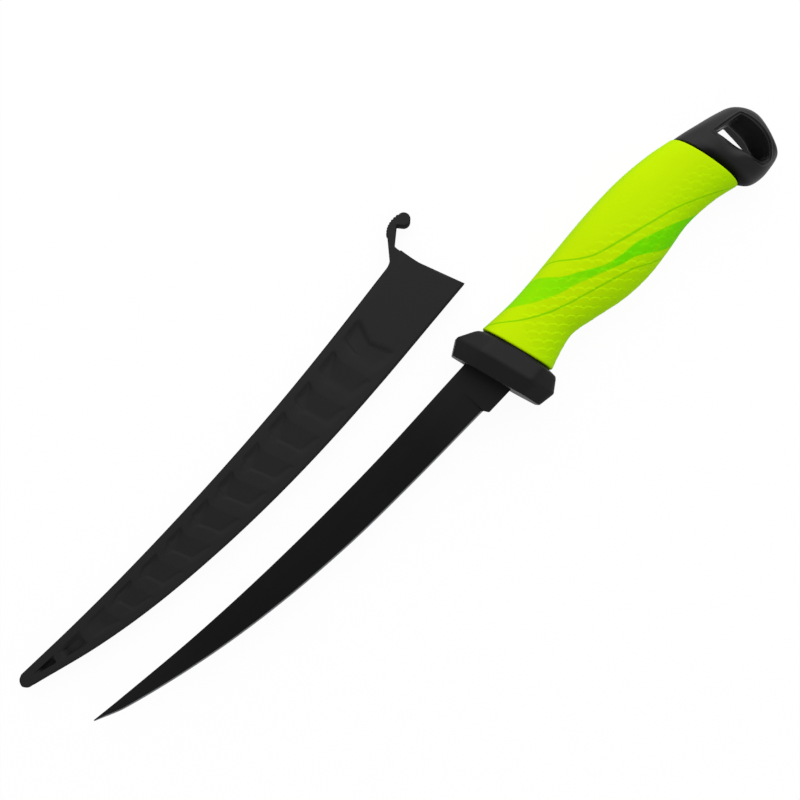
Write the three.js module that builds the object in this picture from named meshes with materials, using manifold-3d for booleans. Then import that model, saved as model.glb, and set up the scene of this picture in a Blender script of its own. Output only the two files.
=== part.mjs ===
// A fillet knife lying on its side, with its moulded sheath taken off and laid beside it.
// Millimetres, +Z up. X runs along the tang towards the butt and Y towards the blade's spine.
// The origin is on the table under the middle of the guard.
import * as THREE from 'three';
import { mergeVertices } from 'three/addons/utils/BufferGeometryUtils.js';
import Module from 'manifold-3d';

const wasm = await Module();
wasm.setup();

// Fits
const SEAT_GAP = 0.3;
const CUT_MARGIN = 5;

// Blade: rows give a share of the reach from the guard's middle to the tip, the spine's and the edge's height
const BLADE_REACH = 217.5;
const BLADE_ROWS = [
  [0.09, 11.65, -6.4],
  [0.28, 10.8, -5.75],
  [0.44, 11.25, -4.3],
  [0.61, 12.85, -0.4],
  [0.77, 15.55, 5.85],
  [0.94, 19.85, 15.6],
  [1, 21.6, 21.1],
];
const BLADE_THICKNESS = 2.4;
const TIP_THICKNESS = 0.9;
const GRIND_SHARE = 0.42;
const EDGE_BEVEL = 1.1;
const EDGE_SHOULDER = 0.5;
const EDGE_LAND = 0.1;
const BLADE_STEPS = 26;

// Ricasso and tang
const HEEL_AT = 19.3;
const HEEL_NOTCH = 1.2;
const NOTCH_STEP = 0.6;
const CORNER_STEP = 0.8;
const RICASSO_DROP = 8.6;
const RICASSO_CORNER = 0.8;
const PLUNGE_LENGTH = 0.6;
const TANG_LENGTH = 95;
const TANG_HEIGHT = 13;
const TANG_LEVEL = 1;
const TANG_END_CHAMFER = 2;

// Guard: an eight-sided collar, bevelled to both sides of a narrow land, with a low neck behind
const GUARD_SLANT = 0.227;
const GUARD_THICKNESS = 13.4;
const GUARD_HEIGHT = 43.4;
const GUARD_WIDTH = 26;
const GUARD_FLAT_HEIGHT = 22;
const GUARD_END_WIDTH = 12;
const GUARD_LEVEL = -0.2;
const GUARD_LAND = 1.6;
const GUARD_FRONT_INSET = 2.3;
const GUARD_FRONT_DROP = 1.3;
const GUARD_REAR_INSET = 3.4;
const GUARD_REAR_SIDE_INSET = 2;
const GUARD_NECK_LENGTH = 1.6;
const GUARD_NECK_INSET = 0.9;
const GUARD_NECK_ROOT = 3.4;
const BLADE_SEAT_DEPTH = 3;
const SPINE_SEAT_GAP = 0.9;

// Grip sleeve: share of the length, spine side height, belly side height, half thickness
const GRIP_LENGTH = 106.4;
const GRIP_REAR_SLANT = 0.157;
const GRIP_ROWS = [
  [0, 16.5, -15.2, 11.4],
  [0.1, 15.6, -12.2, 10.7],
  [0.17, 15.4, -11.15, 10.6],
  [0.26, 15.8, -12.9, 11.2],
  [0.39, 16.8, -16.4, 12.3],
  [0.51, 17.7, -17.45, 12.9],
  [0.63, 18.25, -16.3, 12.4],
  [0.765, 18.05, -14.45, 11],
  [0.9, 16.3, -15.6, 9.9],
  [1, 13.8, -18.3, 9.6],
];
const GRIP_WALL = 2.6;
const GRIP_LIP = 0.8;
const GRIP_STEPS = 30;
const OVAL_SIDES = 28;
const OVAL_SQUARENESS = 2.25;

// Tang pins
const PIN_DIAMETER = 4;
const PIN_LENGTH = 14;
const PIN_INSET = 30;
const PIN_END_INSET = 12.4;
const PIN_SIDES = 24;

// Butt cap: rows give the spine side's point and the belly side's point behind the sleeve's end,
// and the half thickness
const CAP_LENGTH = 27;
const CAP_STEP = 0.5;
const CAP_ROWS = [
  [0.167, 11.9, 0.123, -21.9, 9.8],
  [0.345, 10.4, 0.319, -23.15, 10.9],
  [0.526, 9, 0.506, -22.85, 11.7],
  [0.688, 7.6, 0.649, -22.3, 12],
  [0.819, 6.1, 0.741, -21.25, 11.8],
  [0.911, 3.4, 0.808, -18, 10.7],
  [0.977, -0.3, 0.884, -13.7, 8],
  [1, -4.8, 0.964, -8.5, 4.5],
];
const CAP_STEPS = 16;
const SPIGOT_LENGTH = 5.5;
const SPIGOT_HEIGHT = 14;
const SPIGOT_WIDTH = 9;

// Lanyard window through the butt cap: it narrows towards the belly, and half way through
const WINDOW_WALL = 5;
const WINDOW_LENGTH = 7.3;
const WINDOW_TOP = 2.6;
const WINDOW_SHOULDER = 2;
const WINDOW_HEIGHT = 18.2;
const WINDOW_TAPER = 2.8;
const WINDOW_RADIUS = 2.6;
const WINDOW_CORNER = 1;
const WINDOW_BULGE = 0.7;
const WINDOW_DRAFT = 0.22;
const WINDOW_CORNER_STEPS = 5;

// Sheath, parted on its middle plane: rows give a share of its reach from the guard's middle to its nose,
// the spine side's and the edge side's height
const SHEATH_PAST_TIP = 29.4;
const SHEATH_ROWS = [
  [0.0846, 16.7, -11.85],
  [0.2377, 16.25, -10.9],
  [0.3677, 16.55, -9.3],
  [0.4976, 17.85, -6.4],
  [0.6265, 19.9, -1.95],
  [0.7565, 22.7, 4.4],
  [0.8703, 25.9, 12.35],
  [0.9831, 29.7, 22.75],
];
const SHEATH_THICKNESS = 8.6;
const SHEATH_EDGE_ROUND = 1.1;
const EDGE_ROUND_SAG = 0.3;
const SHEATH_NOSE_RADIUS = 3.1;
const MOUTH_CLEARANCE = 1.9;
const MOUTH_BOW = 0.8;
const MOUTH_HALF = 14;
const POCKET_CLEARANCE = 1.5;
const POCKET_THICKNESS = 4.8;
const POCKET_PAST_TIP = 5;
const SHEATH_STEPS = 9;

// Scallops on the sheath's two faces
const RIM_WIDTH = 3.3;
const BORDER_WIDTH = 3.4;
const PANEL_LENGTH = 31.3;
const SCALLOP_COUNT = 13;
const SCALLOP_NOSE_LAND = 10;
const SCALLOP_SHRINK = 0.2;
const SCALLOP_DEPTH = 0.95;
const SCALLOP_FADE = 0.45;
const SCALLOP_LOBE = 5.2;
const SCALLOP_LOBE_AT = 0.42;
const SCALLOP_LANES = [0.35, 0.7];
const SCALLOP_LANE_FADE = 0.3;
const SCALLOP_WALL = 0.6;
// The scallops shrink with the sheath where it is narrower than this many rims and borders
const SCALLOP_ROOM = 1.15;
// Along one scallop: share of the pitch, share of the depth
const SCALLOP_RAMP = [[0, 0], [0.06, 1], [0.56, 0.8], [0.66, 0]];

// Latch that springs over the guard: its arm, bend, throat and elbow are placed from the head's middle
const LATCH_THICKNESS = 8;
const LATCH_ROOT = 6;
const LATCH_HEAD_RADIUS = 2.5;
const LATCH_HEAD_END = -141;
const LATCH_ARM = [-9.37, 1.2];
const LATCH_BEND = [-6, 4.5];
const LATCH_THROAT = [-3.75, 0.7];
const LATCH_ELBOW = [-10.3, -3.5];
const LATCH_ARC_STEPS = 16;
const LATCH_PAST_RIDGE = 4.6;
const LATCH_OVER_RIDGE = 2.1;
const LATCH_TEETH = 8;
const LATCH_TOOTH_RADIUS = 0.5;
const LATCH_TOOTH_SIDES = 8;

// Where the sheath lies beside the knife
const SHEATH_TURN = 4.9;
const SHEATH_ASIDE = [18.4, 47.27];

// Places that follow from the sizes above
const KNIFE_LEVEL = GUARD_WIDTH / 2;
const SHEATH_LEVEL = SHEATH_THICKNESS / 2;
const GUARD_FRONT = -GUARD_THICKNESS / 2;
const GUARD_REAR = GUARD_THICKNESS / 2;
const GRIP_START = GUARD_REAR + GUARD_NECK_LENGTH + SEAT_GAP;
const GRIP_END = GRIP_START + GRIP_LENGTH;
const CAP_START = GRIP_END + SEAT_GAP;

// Colours
const COATED_STEEL = { color: 0x17181a, roughness: 0.55, metalness: 0.4 };
const BLACK_PLASTIC = { color: 0x222325, roughness: 0.6, metalness: 0 };
const SOFT_GRIP = { color: 0xbfe80c, roughness: 0.65, metalness: 0 };
const PLAIN_STEEL = { color: 0xa9adb2, roughness: 0.35, metalness: 1 };
const CORE_PLASTIC = { color: 0x2c2d2f, roughness: 0.7, metalness: 0 };

// A smooth curve y(x) through rows of [x, y], straight past both ends
function smoothCurve(points) {
  const xs = points.map(([x]) => x);
  const ys = points.map(([, y]) => y);
  const last = points.length - 1;
  const slopes = points.map((_, i) => {
    const before = Math.max(i - 1, 0);
    const after = Math.min(i + 1, last);
    return (ys[after] - ys[before]) / (xs[after] - xs[before]);
  });
  return (x) => {
    if (x <= xs[0]) return ys[0] + slopes[0] * (x - xs[0]);
    if (x >= xs[last]) return ys[last] + slopes[last] * (x - xs[last]);
    let i = 0;
    while (x > xs[i + 1]) i += 1;
    const span = xs[i + 1] - xs[i];
    const t = (x - xs[i]) / span;
    const rise = t * t * (3 - 2 * t);
    const start = t * (1 - t) * (1 - t) * span;
    const end = t * t * (t - 1) * span;
    return ys[i] + (ys[i + 1] - ys[i]) * rise + slopes[i] * start + slopes[i + 1] * end;
  };
}

const lerp = THREE.MathUtils.lerp;
const point = (x, y, z) => new THREE.Vector3(x, y, z);

// A closed body from points and triangles, turned so that its faces point out
function closedBody(points, faces) {
  let volume = 0;
  for (let i = 0; i < faces.length; i += 3) {
    const [a, b, c] = [points[faces[i]], points[faces[i + 1]], points[faces[i + 2]]];
    volume += a.dot(b.clone().cross(c));
  }
  const turned = volume < 0 ? faces.slice().reverse() : faces;
  const geometry = new THREE.BufferGeometry().setFromPoints(points);
  geometry.setIndex(turned);
  return geometry;
}

// A skin over rings that all have the same number of points, closed at both ends
function loft(rings) {
  const count = rings[0].length;
  const points = rings.flat();
  const faces = [];
  for (let r = 0; r + 1 < rings.length; r += 1) {
    for (let k = 0; k < count; k += 1) {
      const a = r * count + k;
      const b = r * count + ((k + 1) % count);
      faces.push(a, b, b + count, a, b + count, a + count);
    }
  }
  for (const [ring, sign] of [[0, -1], [rings.length - 1, 1]]) {
    const centre = points.length;
    const middle = point(0, 0, 0);
    rings[ring].forEach((p) => middle.addScaledVector(p, 1 / count));
    points.push(middle);
    for (let k = 0; k < count; k += 1) {
      const a = ring * count + k;
      const b = ring * count + ((k + 1) % count);
      faces.push(centre, sign > 0 ? a : b, sign > 0 ? b : a);
    }
  }
  return closedBody(points, faces);
}

// Geometry to solid and back, for cuts and joins
function solid(geometry) {
  const bare = geometry.clone();
  bare.deleteAttribute('normal');
  bare.deleteAttribute('uv');
  const merged = mergeVertices(bare);
  return new wasm.Manifold(new wasm.Mesh({
    numProp: 3,
    vertProperties: new Float32Array(merged.attributes.position.array),
    triVerts: new Uint32Array(merged.index.array),
  }));
}

function skin(body) {
  const mesh = body.getMesh();
  const geometry = new THREE.BufferGeometry();
  geometry.setAttribute('position', new THREE.BufferAttribute(mesh.vertProperties, 3));
  geometry.setIndex(new THREE.BufferAttribute(mesh.triVerts, 1));
  return geometry;
}

// A box between two corners
function block(low, high) {
  const size = high.map((v, i) => v - low[i]);
  const middle = high.map((v, i) => (v + low[i]) / 2);
  return solid(new THREE.BoxGeometry(...size).translate(...middle));
}

function piece(name, geometry, finish) {
  const mesh = new THREE.Mesh(geometry, new THREE.MeshStandardMaterial(finish));
  mesh.name = name;
  return mesh;
}

const bladeSpine = smoothCurve(BLADE_ROWS.map(([at, spine]) => [at * BLADE_REACH, spine]));
const bladeEdge = smoothCurve(BLADE_ROWS.map(([at, , edge]) => [at * BLADE_REACH, edge]));

// One section of steel at a distance from the guard: spine, grind line, edge shoulder and edge on both faces
function steelSection(reach, top, grind, bottom, half, shoulder, land) {
  const bevel = Math.min(EDGE_BEVEL, (grind - bottom) / 2);
  const face = [[top, half], [grind, half], [bottom + bevel, shoulder], [bottom, land]];
  const front = face.map(([y, z]) => point(-reach, y, z));
  const back = face.map(([y, z]) => point(-reach, y, -z)).reverse();
  return [...front, ...back];
}

function groundSection(reach) {
  const top = bladeSpine(reach);
  const bottom = bladeEdge(reach);
  const along = (reach - HEEL_AT) / (BLADE_REACH - HEEL_AT);
  const half = lerp(BLADE_THICKNESS, TIP_THICKNESS, along) / 2;
  const shoulder = lerp(EDGE_SHOULDER, EDGE_LAND, along * along) / 2;
  return steelSection(reach, top, lerp(top, bottom, GRIND_SHARE), bottom, half, shoulder, EDGE_LAND / 2);
}

function flatSection(reach, top, bottom) {
  const half = BLADE_THICKNESS / 2;
  return steelSection(reach, top, lerp(top, bottom, GRIND_SHARE), bottom, half, half, half);
}

// Pins along the tang, front one first
const pinPlaces = [GRIP_START + PIN_INSET, TANG_LENGTH - PIN_END_INSET];

function pinBody(diameter, length) {
  const round = new THREE.CylinderGeometry(diameter / 2, diameter / 2, length, PIN_SIDES);
  return round.rotateX(Math.PI / 2);
}

function pinHoles() {
  const holes = pinPlaces.map((x) => {
    const hole = pinBody(PIN_DIAMETER + 2 * SEAT_GAP, PIN_LENGTH + 2 * SEAT_GAP);
    return solid(hole.translate(x, TANG_LEVEL, 0));
  });
  return holes[0].add(holes[1]);
}

const TANG_TOP = TANG_LEVEL + TANG_HEIGHT / 2;
const TANG_BOTTOM = TANG_LEVEL - TANG_HEIGHT / 2;
// The blade's full height ends inside the guard, where the tang begins
const SHOULDER_AT = GUARD_FRONT + BLADE_SEAT_DEPTH;

function blade() {
  const rings = [];
  for (let i = 0; i <= BLADE_STEPS; i += 1) {
    rings.push(groundSection(lerp(BLADE_REACH, HEEL_AT, i / BLADE_STEPS)));
  }
  const notchEnd = HEEL_AT - HEEL_NOTCH;
  const heel = bladeEdge(HEEL_AT);
  const corner = lerp(heel, -RICASSO_DROP, NOTCH_STEP);
  rings.push(flatSection(HEEL_AT - PLUNGE_LENGTH, bladeSpine(HEEL_AT - PLUNGE_LENGTH), heel));
  rings.push(flatSection(notchEnd, bladeSpine(notchEnd), corner));
  const rounded = lerp(corner, -RICASSO_DROP, CORNER_STEP);
  rings.push(flatSection(notchEnd - RICASSO_CORNER / 2, bladeSpine(notchEnd), rounded));
  rings.push(flatSection(notchEnd - RICASSO_CORNER, bladeSpine(notchEnd), -RICASSO_DROP));
  const fullEnd = PLUNGE_LENGTH - SHOULDER_AT;
  rings.push(flatSection(fullEnd, bladeSpine(fullEnd), -RICASSO_DROP));
  rings.push(flatSection(-SHOULDER_AT, TANG_TOP, TANG_BOTTOM));
  rings.push(flatSection(-TANG_LENGTH + TANG_END_CHAMFER, TANG_TOP, TANG_BOTTOM));
  rings.push(flatSection(-TANG_LENGTH, TANG_TOP - TANG_END_CHAMFER, TANG_BOTTOM + TANG_END_CHAMFER));
  return skin(solid(loft(rings)).subtract(pinHoles()));
}

// An oval between a spine-side and a belly-side point, flatter than an ellipse by its squareness
function ovalRing(top, bottom, half) {
  const ring = [];
  const power = 2 / OVAL_SQUARENESS;
  for (let k = 0; k < OVAL_SIDES; k += 1) {
    const turn = (2 * Math.PI * k) / OVAL_SIDES;
    const up = Math.sign(Math.cos(turn)) * Math.abs(Math.cos(turn)) ** power;
    const out = Math.sign(Math.sin(turn)) * Math.abs(Math.sin(turn)) ** power;
    const share = (1 + up) / 2;
    ring.push(point(lerp(bottom[0], top[0], share), lerp(bottom[1], top[1], share), half * out));
  }
  return ring;
}

const gripColumn = (column) => smoothCurve(GRIP_ROWS.map((row) => [row[0], row[column]]));
const gripTop = gripColumn(1);
const gripBelly = gripColumn(2);
const gripHalf = gripColumn(3);

// A ring of the handle at a share of the sleeve's length, drawn in by an inset
function gripRing(share, inset, shift = 0) {
  const slant = lerp(GUARD_SLANT, GRIP_REAR_SLANT, share);
  const axial = GRIP_START + share * GRIP_LENGTH + shift;
  const top = gripTop(share) - inset;
  const belly = gripBelly(share) + inset;
  return ovalRing([axial - slant * top, top], [axial - slant * belly, belly], gripHalf(share) - inset);
}

function gripRings(inset, lip) {
  const rings = [];
  for (let i = 0; i <= GRIP_STEPS; i += 1) {
    const share = lerp(lip, GRIP_LENGTH - lip, i / GRIP_STEPS) / GRIP_LENGTH;
    rings.push(gripRing(share, inset));
  }
  return rings;
}

// The sleeve's ends are rounded by a small lip, and its bore runs out past both of them
function gripSleeve() {
  const outer = [gripRing(0, GRIP_LIP), ...gripRings(0, GRIP_LIP), gripRing(1, GRIP_LIP)];
  const ends = [gripRing(0, GRIP_WALL, -CUT_MARGIN), gripRing(1, GRIP_WALL, CUT_MARGIN)];
  const bore = [ends[0], ...gripRings(GRIP_WALL, 0), ends[1]];
  return skin(solid(loft(outer)).subtract(solid(loft(bore))));
}

function guardRing(axial, inset, sideInset = inset, drop = 0) {
  const level = GUARD_LEVEL - drop;
  const end = GUARD_HEIGHT / 2 - inset;
  const flat = GUARD_FLAT_HEIGHT / 2;
  const half = GUARD_WIDTH / 2 - sideInset;
  const endHalf = GUARD_END_WIDTH / 2;
  const outline = [[end, endHalf], [flat, half], [-flat, half], [-end, endHalf]];
  const corners = [...outline, ...outline.map(([y, z]) => [y, -z]).reverse()];
  return corners.map(([y, z]) => point(axial - GUARD_SLANT * (y + level), y + level, z));
}

function guard() {
  const collar = solid(loft([
    guardRing(GUARD_FRONT, GUARD_FRONT_INSET, GUARD_FRONT_INSET, GUARD_FRONT_DROP),
    guardRing(-GUARD_LAND / 2, 0),
    guardRing(GUARD_LAND / 2, 0),
    guardRing(GUARD_REAR, GUARD_REAR_INSET, GUARD_REAR_SIDE_INSET),
  ]));
  const neck = solid(loft([
    gripRing(0, GUARD_NECK_INSET, -GUARD_NECK_LENGTH - SEAT_GAP - GUARD_NECK_ROOT),
    gripRing(0, GUARD_NECK_INSET, -SEAT_GAP),
  ]));
  const half = BLADE_THICKNESS / 2 + SEAT_GAP;
  const bladeSeat = block(
    [-GUARD_HEIGHT, -RICASSO_DROP - SEAT_GAP, -half],
    [SHOULDER_AT + SEAT_GAP, bladeSpine(-SHOULDER_AT) + SPINE_SEAT_GAP, half],
  );
  const tangSlot = block(
    [-GUARD_HEIGHT, TANG_BOTTOM - SEAT_GAP, -half],
    [GUARD_HEIGHT, TANG_TOP + SEAT_GAP, half],
  );
  return skin(collar.add(neck).subtract(bladeSeat).subtract(tangSlot));
}

// The spigot at the core's tail, and with a clearance the socket that it seats in
function spigot(clearance) {
  const high = SPIGOT_HEIGHT / 2 + clearance;
  const wide = SPIGOT_WIDTH / 2 + clearance;
  const level = (gripTop(1) + gripBelly(1)) / 2;
  return block(
    [GRIP_END - CUT_MARGIN, level - high, -wide],
    [GRIP_END + SPIGOT_LENGTH + clearance, level + high, wide],
  );
}

// One half of the hard core: side 1 is the upper one as the knife lies
function core(side) {
  const whole = solid(loft(gripRings(GRIP_WALL + SEAT_GAP, 0))).add(spigot(0));
  const reach = GRIP_END + GRIP_LENGTH;
  const upper = [SEAT_GAP / 2, GUARD_WIDTH];
  const [low, high] = side > 0 ? upper : upper.map((z) => -z).reverse();
  const halfSpace = block([-reach, -GUARD_HEIGHT, low], [reach, GUARD_HEIGHT, high]);
  const tangRecess = block(
    [-reach, TANG_BOTTOM - SEAT_GAP, -BLADE_THICKNESS / 2 - SEAT_GAP],
    [TANG_LENGTH + SEAT_GAP, TANG_TOP + SEAT_GAP, BLADE_THICKNESS / 2 + SEAT_GAP],
  );
  return skin(whole.intersect(halfSpace).subtract(tangRecess).subtract(pinHoles()));
}

// Outline and thickness of the butt cap, starting a small step inside the sleeve's end
function capRings() {
  const first = [
    0, gripTop(1) - CAP_STEP, 0, gripBelly(1) + CAP_STEP, gripHalf(1) - CAP_STEP,
  ];
  const rows = [first, ...CAP_ROWS];
  const steps = rows.map((row, i) => [i / (rows.length - 1), row]);
  const column = (c) => smoothCurve(steps.map(([at, row]) => [at, row[c]]));
  const [topAlong, top, bellyAlong, belly, half] = [0, 1, 2, 3, 4].map(column);
  const rings = [];
  for (let i = 0; i <= CAP_STEPS; i += 1) {
    const at = i / CAP_STEPS;
    const fade = GRIP_REAR_SLANT * (1 - at);
    const spine = [CAP_START + topAlong(at) * CAP_LENGTH - fade * top(at), top(at)];
    const below = [CAP_START + bellyAlong(at) * CAP_LENGTH - fade * belly(at), belly(at)];
    rings.push(ovalRing(spine, below, half(at)));
  }
  return rings;
}

// Outline of the lanyard window, widened by a flare on all sides but the spine's
function windowOutline(flare) {
  const start = CAP_START + SPIGOT_LENGTH + 2 * SEAT_GAP + WINDOW_WALL - flare;
  const handleSide = (y) => start - GRIP_REAR_SLANT * y;
  const buttSide = start + WINDOW_LENGTH + 2 * flare;
  const top = WINDOW_TOP;
  const shoulder = top - WINDOW_SHOULDER;
  const bottom = top - WINDOW_HEIGHT - flare;
  const heel = [buttSide - WINDOW_TAPER, bottom + WINDOW_RADIUS];
  const middle = (heel[0] + handleSide(bottom)) / 2;
  const corner = WINDOW_CORNER;
  const shape = new THREE.Shape();
  shape.moveTo(handleSide(top - corner), top - corner);
  shape.quadraticCurveTo(handleSide(top), top, handleSide(top) + corner, top);
  shape.lineTo(buttSide - corner, shoulder);
  shape.quadraticCurveTo(buttSide, shoulder, buttSide, shoulder - corner);
  shape.quadraticCurveTo(buttSide + WINDOW_BULGE, (shoulder + bottom) / 2, ...heel);
  shape.quadraticCurveTo(heel[0] - WINDOW_BULGE, bottom, middle, bottom);
  shape.quadraticCurveTo(handleSide(bottom), bottom, handleSide(heel[1]), heel[1]);
  shape.closePath();
  return shape.getPoints(WINDOW_CORNER_STEPS);
}

function lanyardWindow() {
  const depth = GUARD_WIDTH / 2;
  const flare = depth * WINDOW_DRAFT;
  const level = (flared, z) => windowOutline(flared).map((p) => point(p.x, p.y, z));
  return solid(loft([level(flare, -depth), level(0, 0), level(flare, depth)]));
}

function buttCap() {
  return skin(solid(loft(capRings())).subtract(spigot(SEAT_GAP)).subtract(lanyardWindow()));
}

// The sheath's two sides at a distance from the guard, drawn together into a round nose
const SHEATH_REACH = BLADE_REACH + SHEATH_PAST_TIP;
const sheathSpine = smoothCurve(SHEATH_ROWS.map(([at, spine]) => [at * SHEATH_REACH, spine]));
const sheathEdge = smoothCurve(SHEATH_ROWS.map(([at, , edge]) => [at * SHEATH_REACH, edge]));

function sheathSides(reach) {
  const nose = SHEATH_NOSE_RADIUS;
  const straight = Math.min(reach, SHEATH_REACH - nose);
  const spine = sheathSpine(straight);
  const edge = sheathEdge(straight);
  const middle = (spine + edge) / 2;
  const left = Math.max(SHEATH_REACH - reach, 0);
  const round = left < nose ? Math.sqrt(nose * nose - (nose - left) ** 2) : Infinity;
  const half = Math.min((spine - edge) / 2, round);
  return [middle + half, middle - half];
}

// Distance from the guard's middle of the sheath's mouth, at a height: slanted with the guard, and hollow
function mouthReach(y) {
  return MOUTH_CLEARANCE - GUARD_FRONT + GUARD_SLANT * y - MOUTH_BOW * (y / MOUTH_HALF) ** 2;
}

// Places of the cross lines on the sheath's face: distance from the mouth, how far the scallop is cut down
// there, and how much of the scallops' bowed form the line has
function sheathLines() {
  const lines = [[0, 0, 0], [PANEL_LENGTH / 2, 0, 0.5]];
  const run = SHEATH_REACH - mouthReach(0) - PANEL_LENGTH - SCALLOP_NOSE_LAND;
  let start = PANEL_LENGTH;
  for (let i = 0; i < SCALLOP_COUNT; i += 1) {
    const pitch = run / SCALLOP_COUNT + SCALLOP_SHRINK * ((SCALLOP_COUNT - 1) / 2 - i);
    SCALLOP_RAMP.forEach(([share, cut]) => lines.push([start + share * pitch, cut, 1]));
    start += pitch;
  }
  return lines;
}

// One ring of a half shell: up the spine side, across the rim, the scallop and the border, down the edge side
function sheathRing(from, cut, bow, side) {
  const base = mouthReach(0) + from;
  const [spine0, edge0] = sheathSides(base);
  const width = spine0 - edge0;
  const squeeze = Math.min(1, width / (SCALLOP_ROOM * (RIM_WIDTH + BORDER_WIDTH)));
  const face = SHEATH_THICKNESS / 2;
  const round = SHEATH_EDGE_ROUND;
  const floor = face - SCALLOP_DEPTH * cut * squeeze;
  const faded = face - SCALLOP_DEPTH * cut * squeeze * SCALLOP_FADE;
  const rim = RIM_WIDTH * squeeze;
  const border = BORDER_WIDTH * squeeze;
  const inner = width - rim - border;
  const sag = EDGE_ROUND_SAG * round;
  const [near, far] = SCALLOP_LANES.map((lane) => rim + lane * inner);
  const lanes = [
    [0, 0], [0, face - round], [sag, face - sag], [round, face],
    [rim, face], [rim + SCALLOP_WALL * squeeze, floor],
    [near, lerp(floor, faded, SCALLOP_LANE_FADE)], [far, faded], [rim + inner, face],
    [width - round, face], [width - sag, face - sag], [width, face - round], [width, 0],
  ];
  const bowAt = (share) => 1 - ((share - SCALLOP_LOBE_AT) / (1 - SCALLOP_LOBE_AT)) ** 2;
  return lanes.map(([across, z]) => {
    const share = across / width;
    const lobe = SCALLOP_LOBE * squeeze * bowAt(share);
    const slanted = mouthReach(lerp(spine0, edge0, share)) - mouthReach(0);
    const reach = Math.min(base + lerp(slanted, lobe, bow), SHEATH_REACH);
    const [spine, edge] = sheathSides(reach);
    return point(-reach, lerp(spine, edge, share), side * z);
  });
}

// Room for the blade, from past the mouth to beyond the tip, deeper where the ricasso comes to lie
function pocket() {
  const rings = [];
  const start = mouthReach(0) - 2 * CUT_MARGIN - GUARD_SLANT * GUARD_HEIGHT / 2;
  for (let i = 0; i <= BLADE_STEPS; i += 1) {
    const reach = lerp(start, BLADE_REACH + POCKET_PAST_TIP, i / BLADE_STEPS);
    const spine = bladeSpine(reach) + POCKET_CLEARANCE;
    const lowest = reach < HEEL_AT + 2 * POCKET_CLEARANCE ? -RICASSO_DROP : bladeEdge(reach);
    const edge = Math.min(lowest, spine) - POCKET_CLEARANCE;
    const half = POCKET_THICKNESS / 2;
    const corners = [[spine, half], [spine, -half], [edge, -half], [edge, half]];
    rings.push(corners.map(([y, z]) => point(-reach, y, z)));
  }
  return solid(loft(rings));
}

function sheathShell(side) {
  const rings = sheathLines().map(([from, cut, bow]) => sheathRing(from, cut, bow, side));
  const lastLine = sheathLines().at(-1)[0];
  const noseLine = SHEATH_REACH - mouthReach(0);
  for (let i = 1; i <= SHEATH_STEPS; i += 1) {
    const ease = Math.sin((Math.PI / 2) * (i / SHEATH_STEPS));
    rings.push(sheathRing(lerp(lastLine, noseLine - SEAT_GAP, ease), 0, 1 - ease, side));
  }
  return skin(solid(loft(rings)).subtract(pocket()));
}

// The latch stands on the spine side at the mouth, and its head hooks behind the guard's ridge
function latch() {
  const ridge = GUARD_HEIGHT / 2 + GUARD_LEVEL;
  const head = new THREE.Vector2(LATCH_PAST_RIDGE - GUARD_SLANT * ridge, ridge + LATCH_OVER_RIDGE);
  const corner = mouthReach(sheathSides(mouthReach(0))[0]) + SEAT_GAP;
  const onSide = (reach) => new THREE.Vector2(-reach, sheathSides(reach)[0] + SEAT_GAP);
  const outerRoot = onSide(corner + LATCH_ROOT);
  const innerRoot = onSide(corner);
  const fromHead = ([x, y]) => new THREE.Vector2(head.x + x, head.y + y);
  const [arm, bend, throat, elbow] = [LATCH_ARM, LATCH_BEND, LATCH_THROAT, LATCH_ELBOW].map(fromHead);
  const crown = fromHead([0, LATCH_HEAD_RADIUS]);
  const shape = new THREE.Shape();
  shape.moveTo(innerRoot.x, innerRoot.y);
  shape.lineTo(outerRoot.x, outerRoot.y);
  shape.lineTo(arm.x, arm.y);
  shape.quadraticCurveTo(bend.x, bend.y, crown.x, crown.y);
  const headEnd = THREE.MathUtils.degToRad(LATCH_HEAD_END);
  shape.absarc(head.x, head.y, LATCH_HEAD_RADIUS, Math.PI / 2, headEnd, true);
  shape.lineTo(throat.x, throat.y);
  shape.lineTo(elbow.x, elbow.y);
  shape.quadraticCurveTo(innerRoot.x, elbow.y, innerRoot.x, innerRoot.y);
  const hook = new THREE.ExtrudeGeometry(shape, {
    depth: LATCH_THICKNESS,
    bevelEnabled: false,
    curveSegments: LATCH_ARC_STEPS,
  });
  let body = solid(hook.translate(0, 0, -LATCH_THICKNESS / 2));
  const thumbEdge = new THREE.QuadraticBezierCurve(arm, bend, crown);
  for (let i = 0; i < LATCH_TEETH; i += 1) {
    const at = thumbEdge.getPoint(i / (LATCH_TEETH - 1));
    const radius = LATCH_TOOTH_RADIUS;
    const tooth = new THREE.CylinderGeometry(radius, radius, LATCH_THICKNESS, LATCH_TOOTH_SIDES);
    body = body.add(solid(tooth.rotateX(Math.PI / 2).translate(at.x, at.y, 0)));
  }
  return skin(body);
}

// The laid-out assembly
const knife = new THREE.Group();
knife.position.z = KNIFE_LEVEL;
knife.add(piece('blade', blade(), COATED_STEEL));
knife.add(piece('guard', guard(), BLACK_PLASTIC));
knife.add(piece('grip_sleeve', gripSleeve(), SOFT_GRIP));
knife.add(piece('core_left', core(1), CORE_PLASTIC));
knife.add(piece('core_right', core(-1), CORE_PLASTIC));
['tang_pin_front', 'tang_pin_rear'].forEach((name, i) => {
  const pin = piece(name, pinBody(PIN_DIAMETER, PIN_LENGTH), PLAIN_STEEL);
  pin.position.set(pinPlaces[i], TANG_LEVEL, 0);
  knife.add(pin);
});
knife.add(piece('butt_cap', buttCap(), BLACK_PLASTIC));

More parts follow.
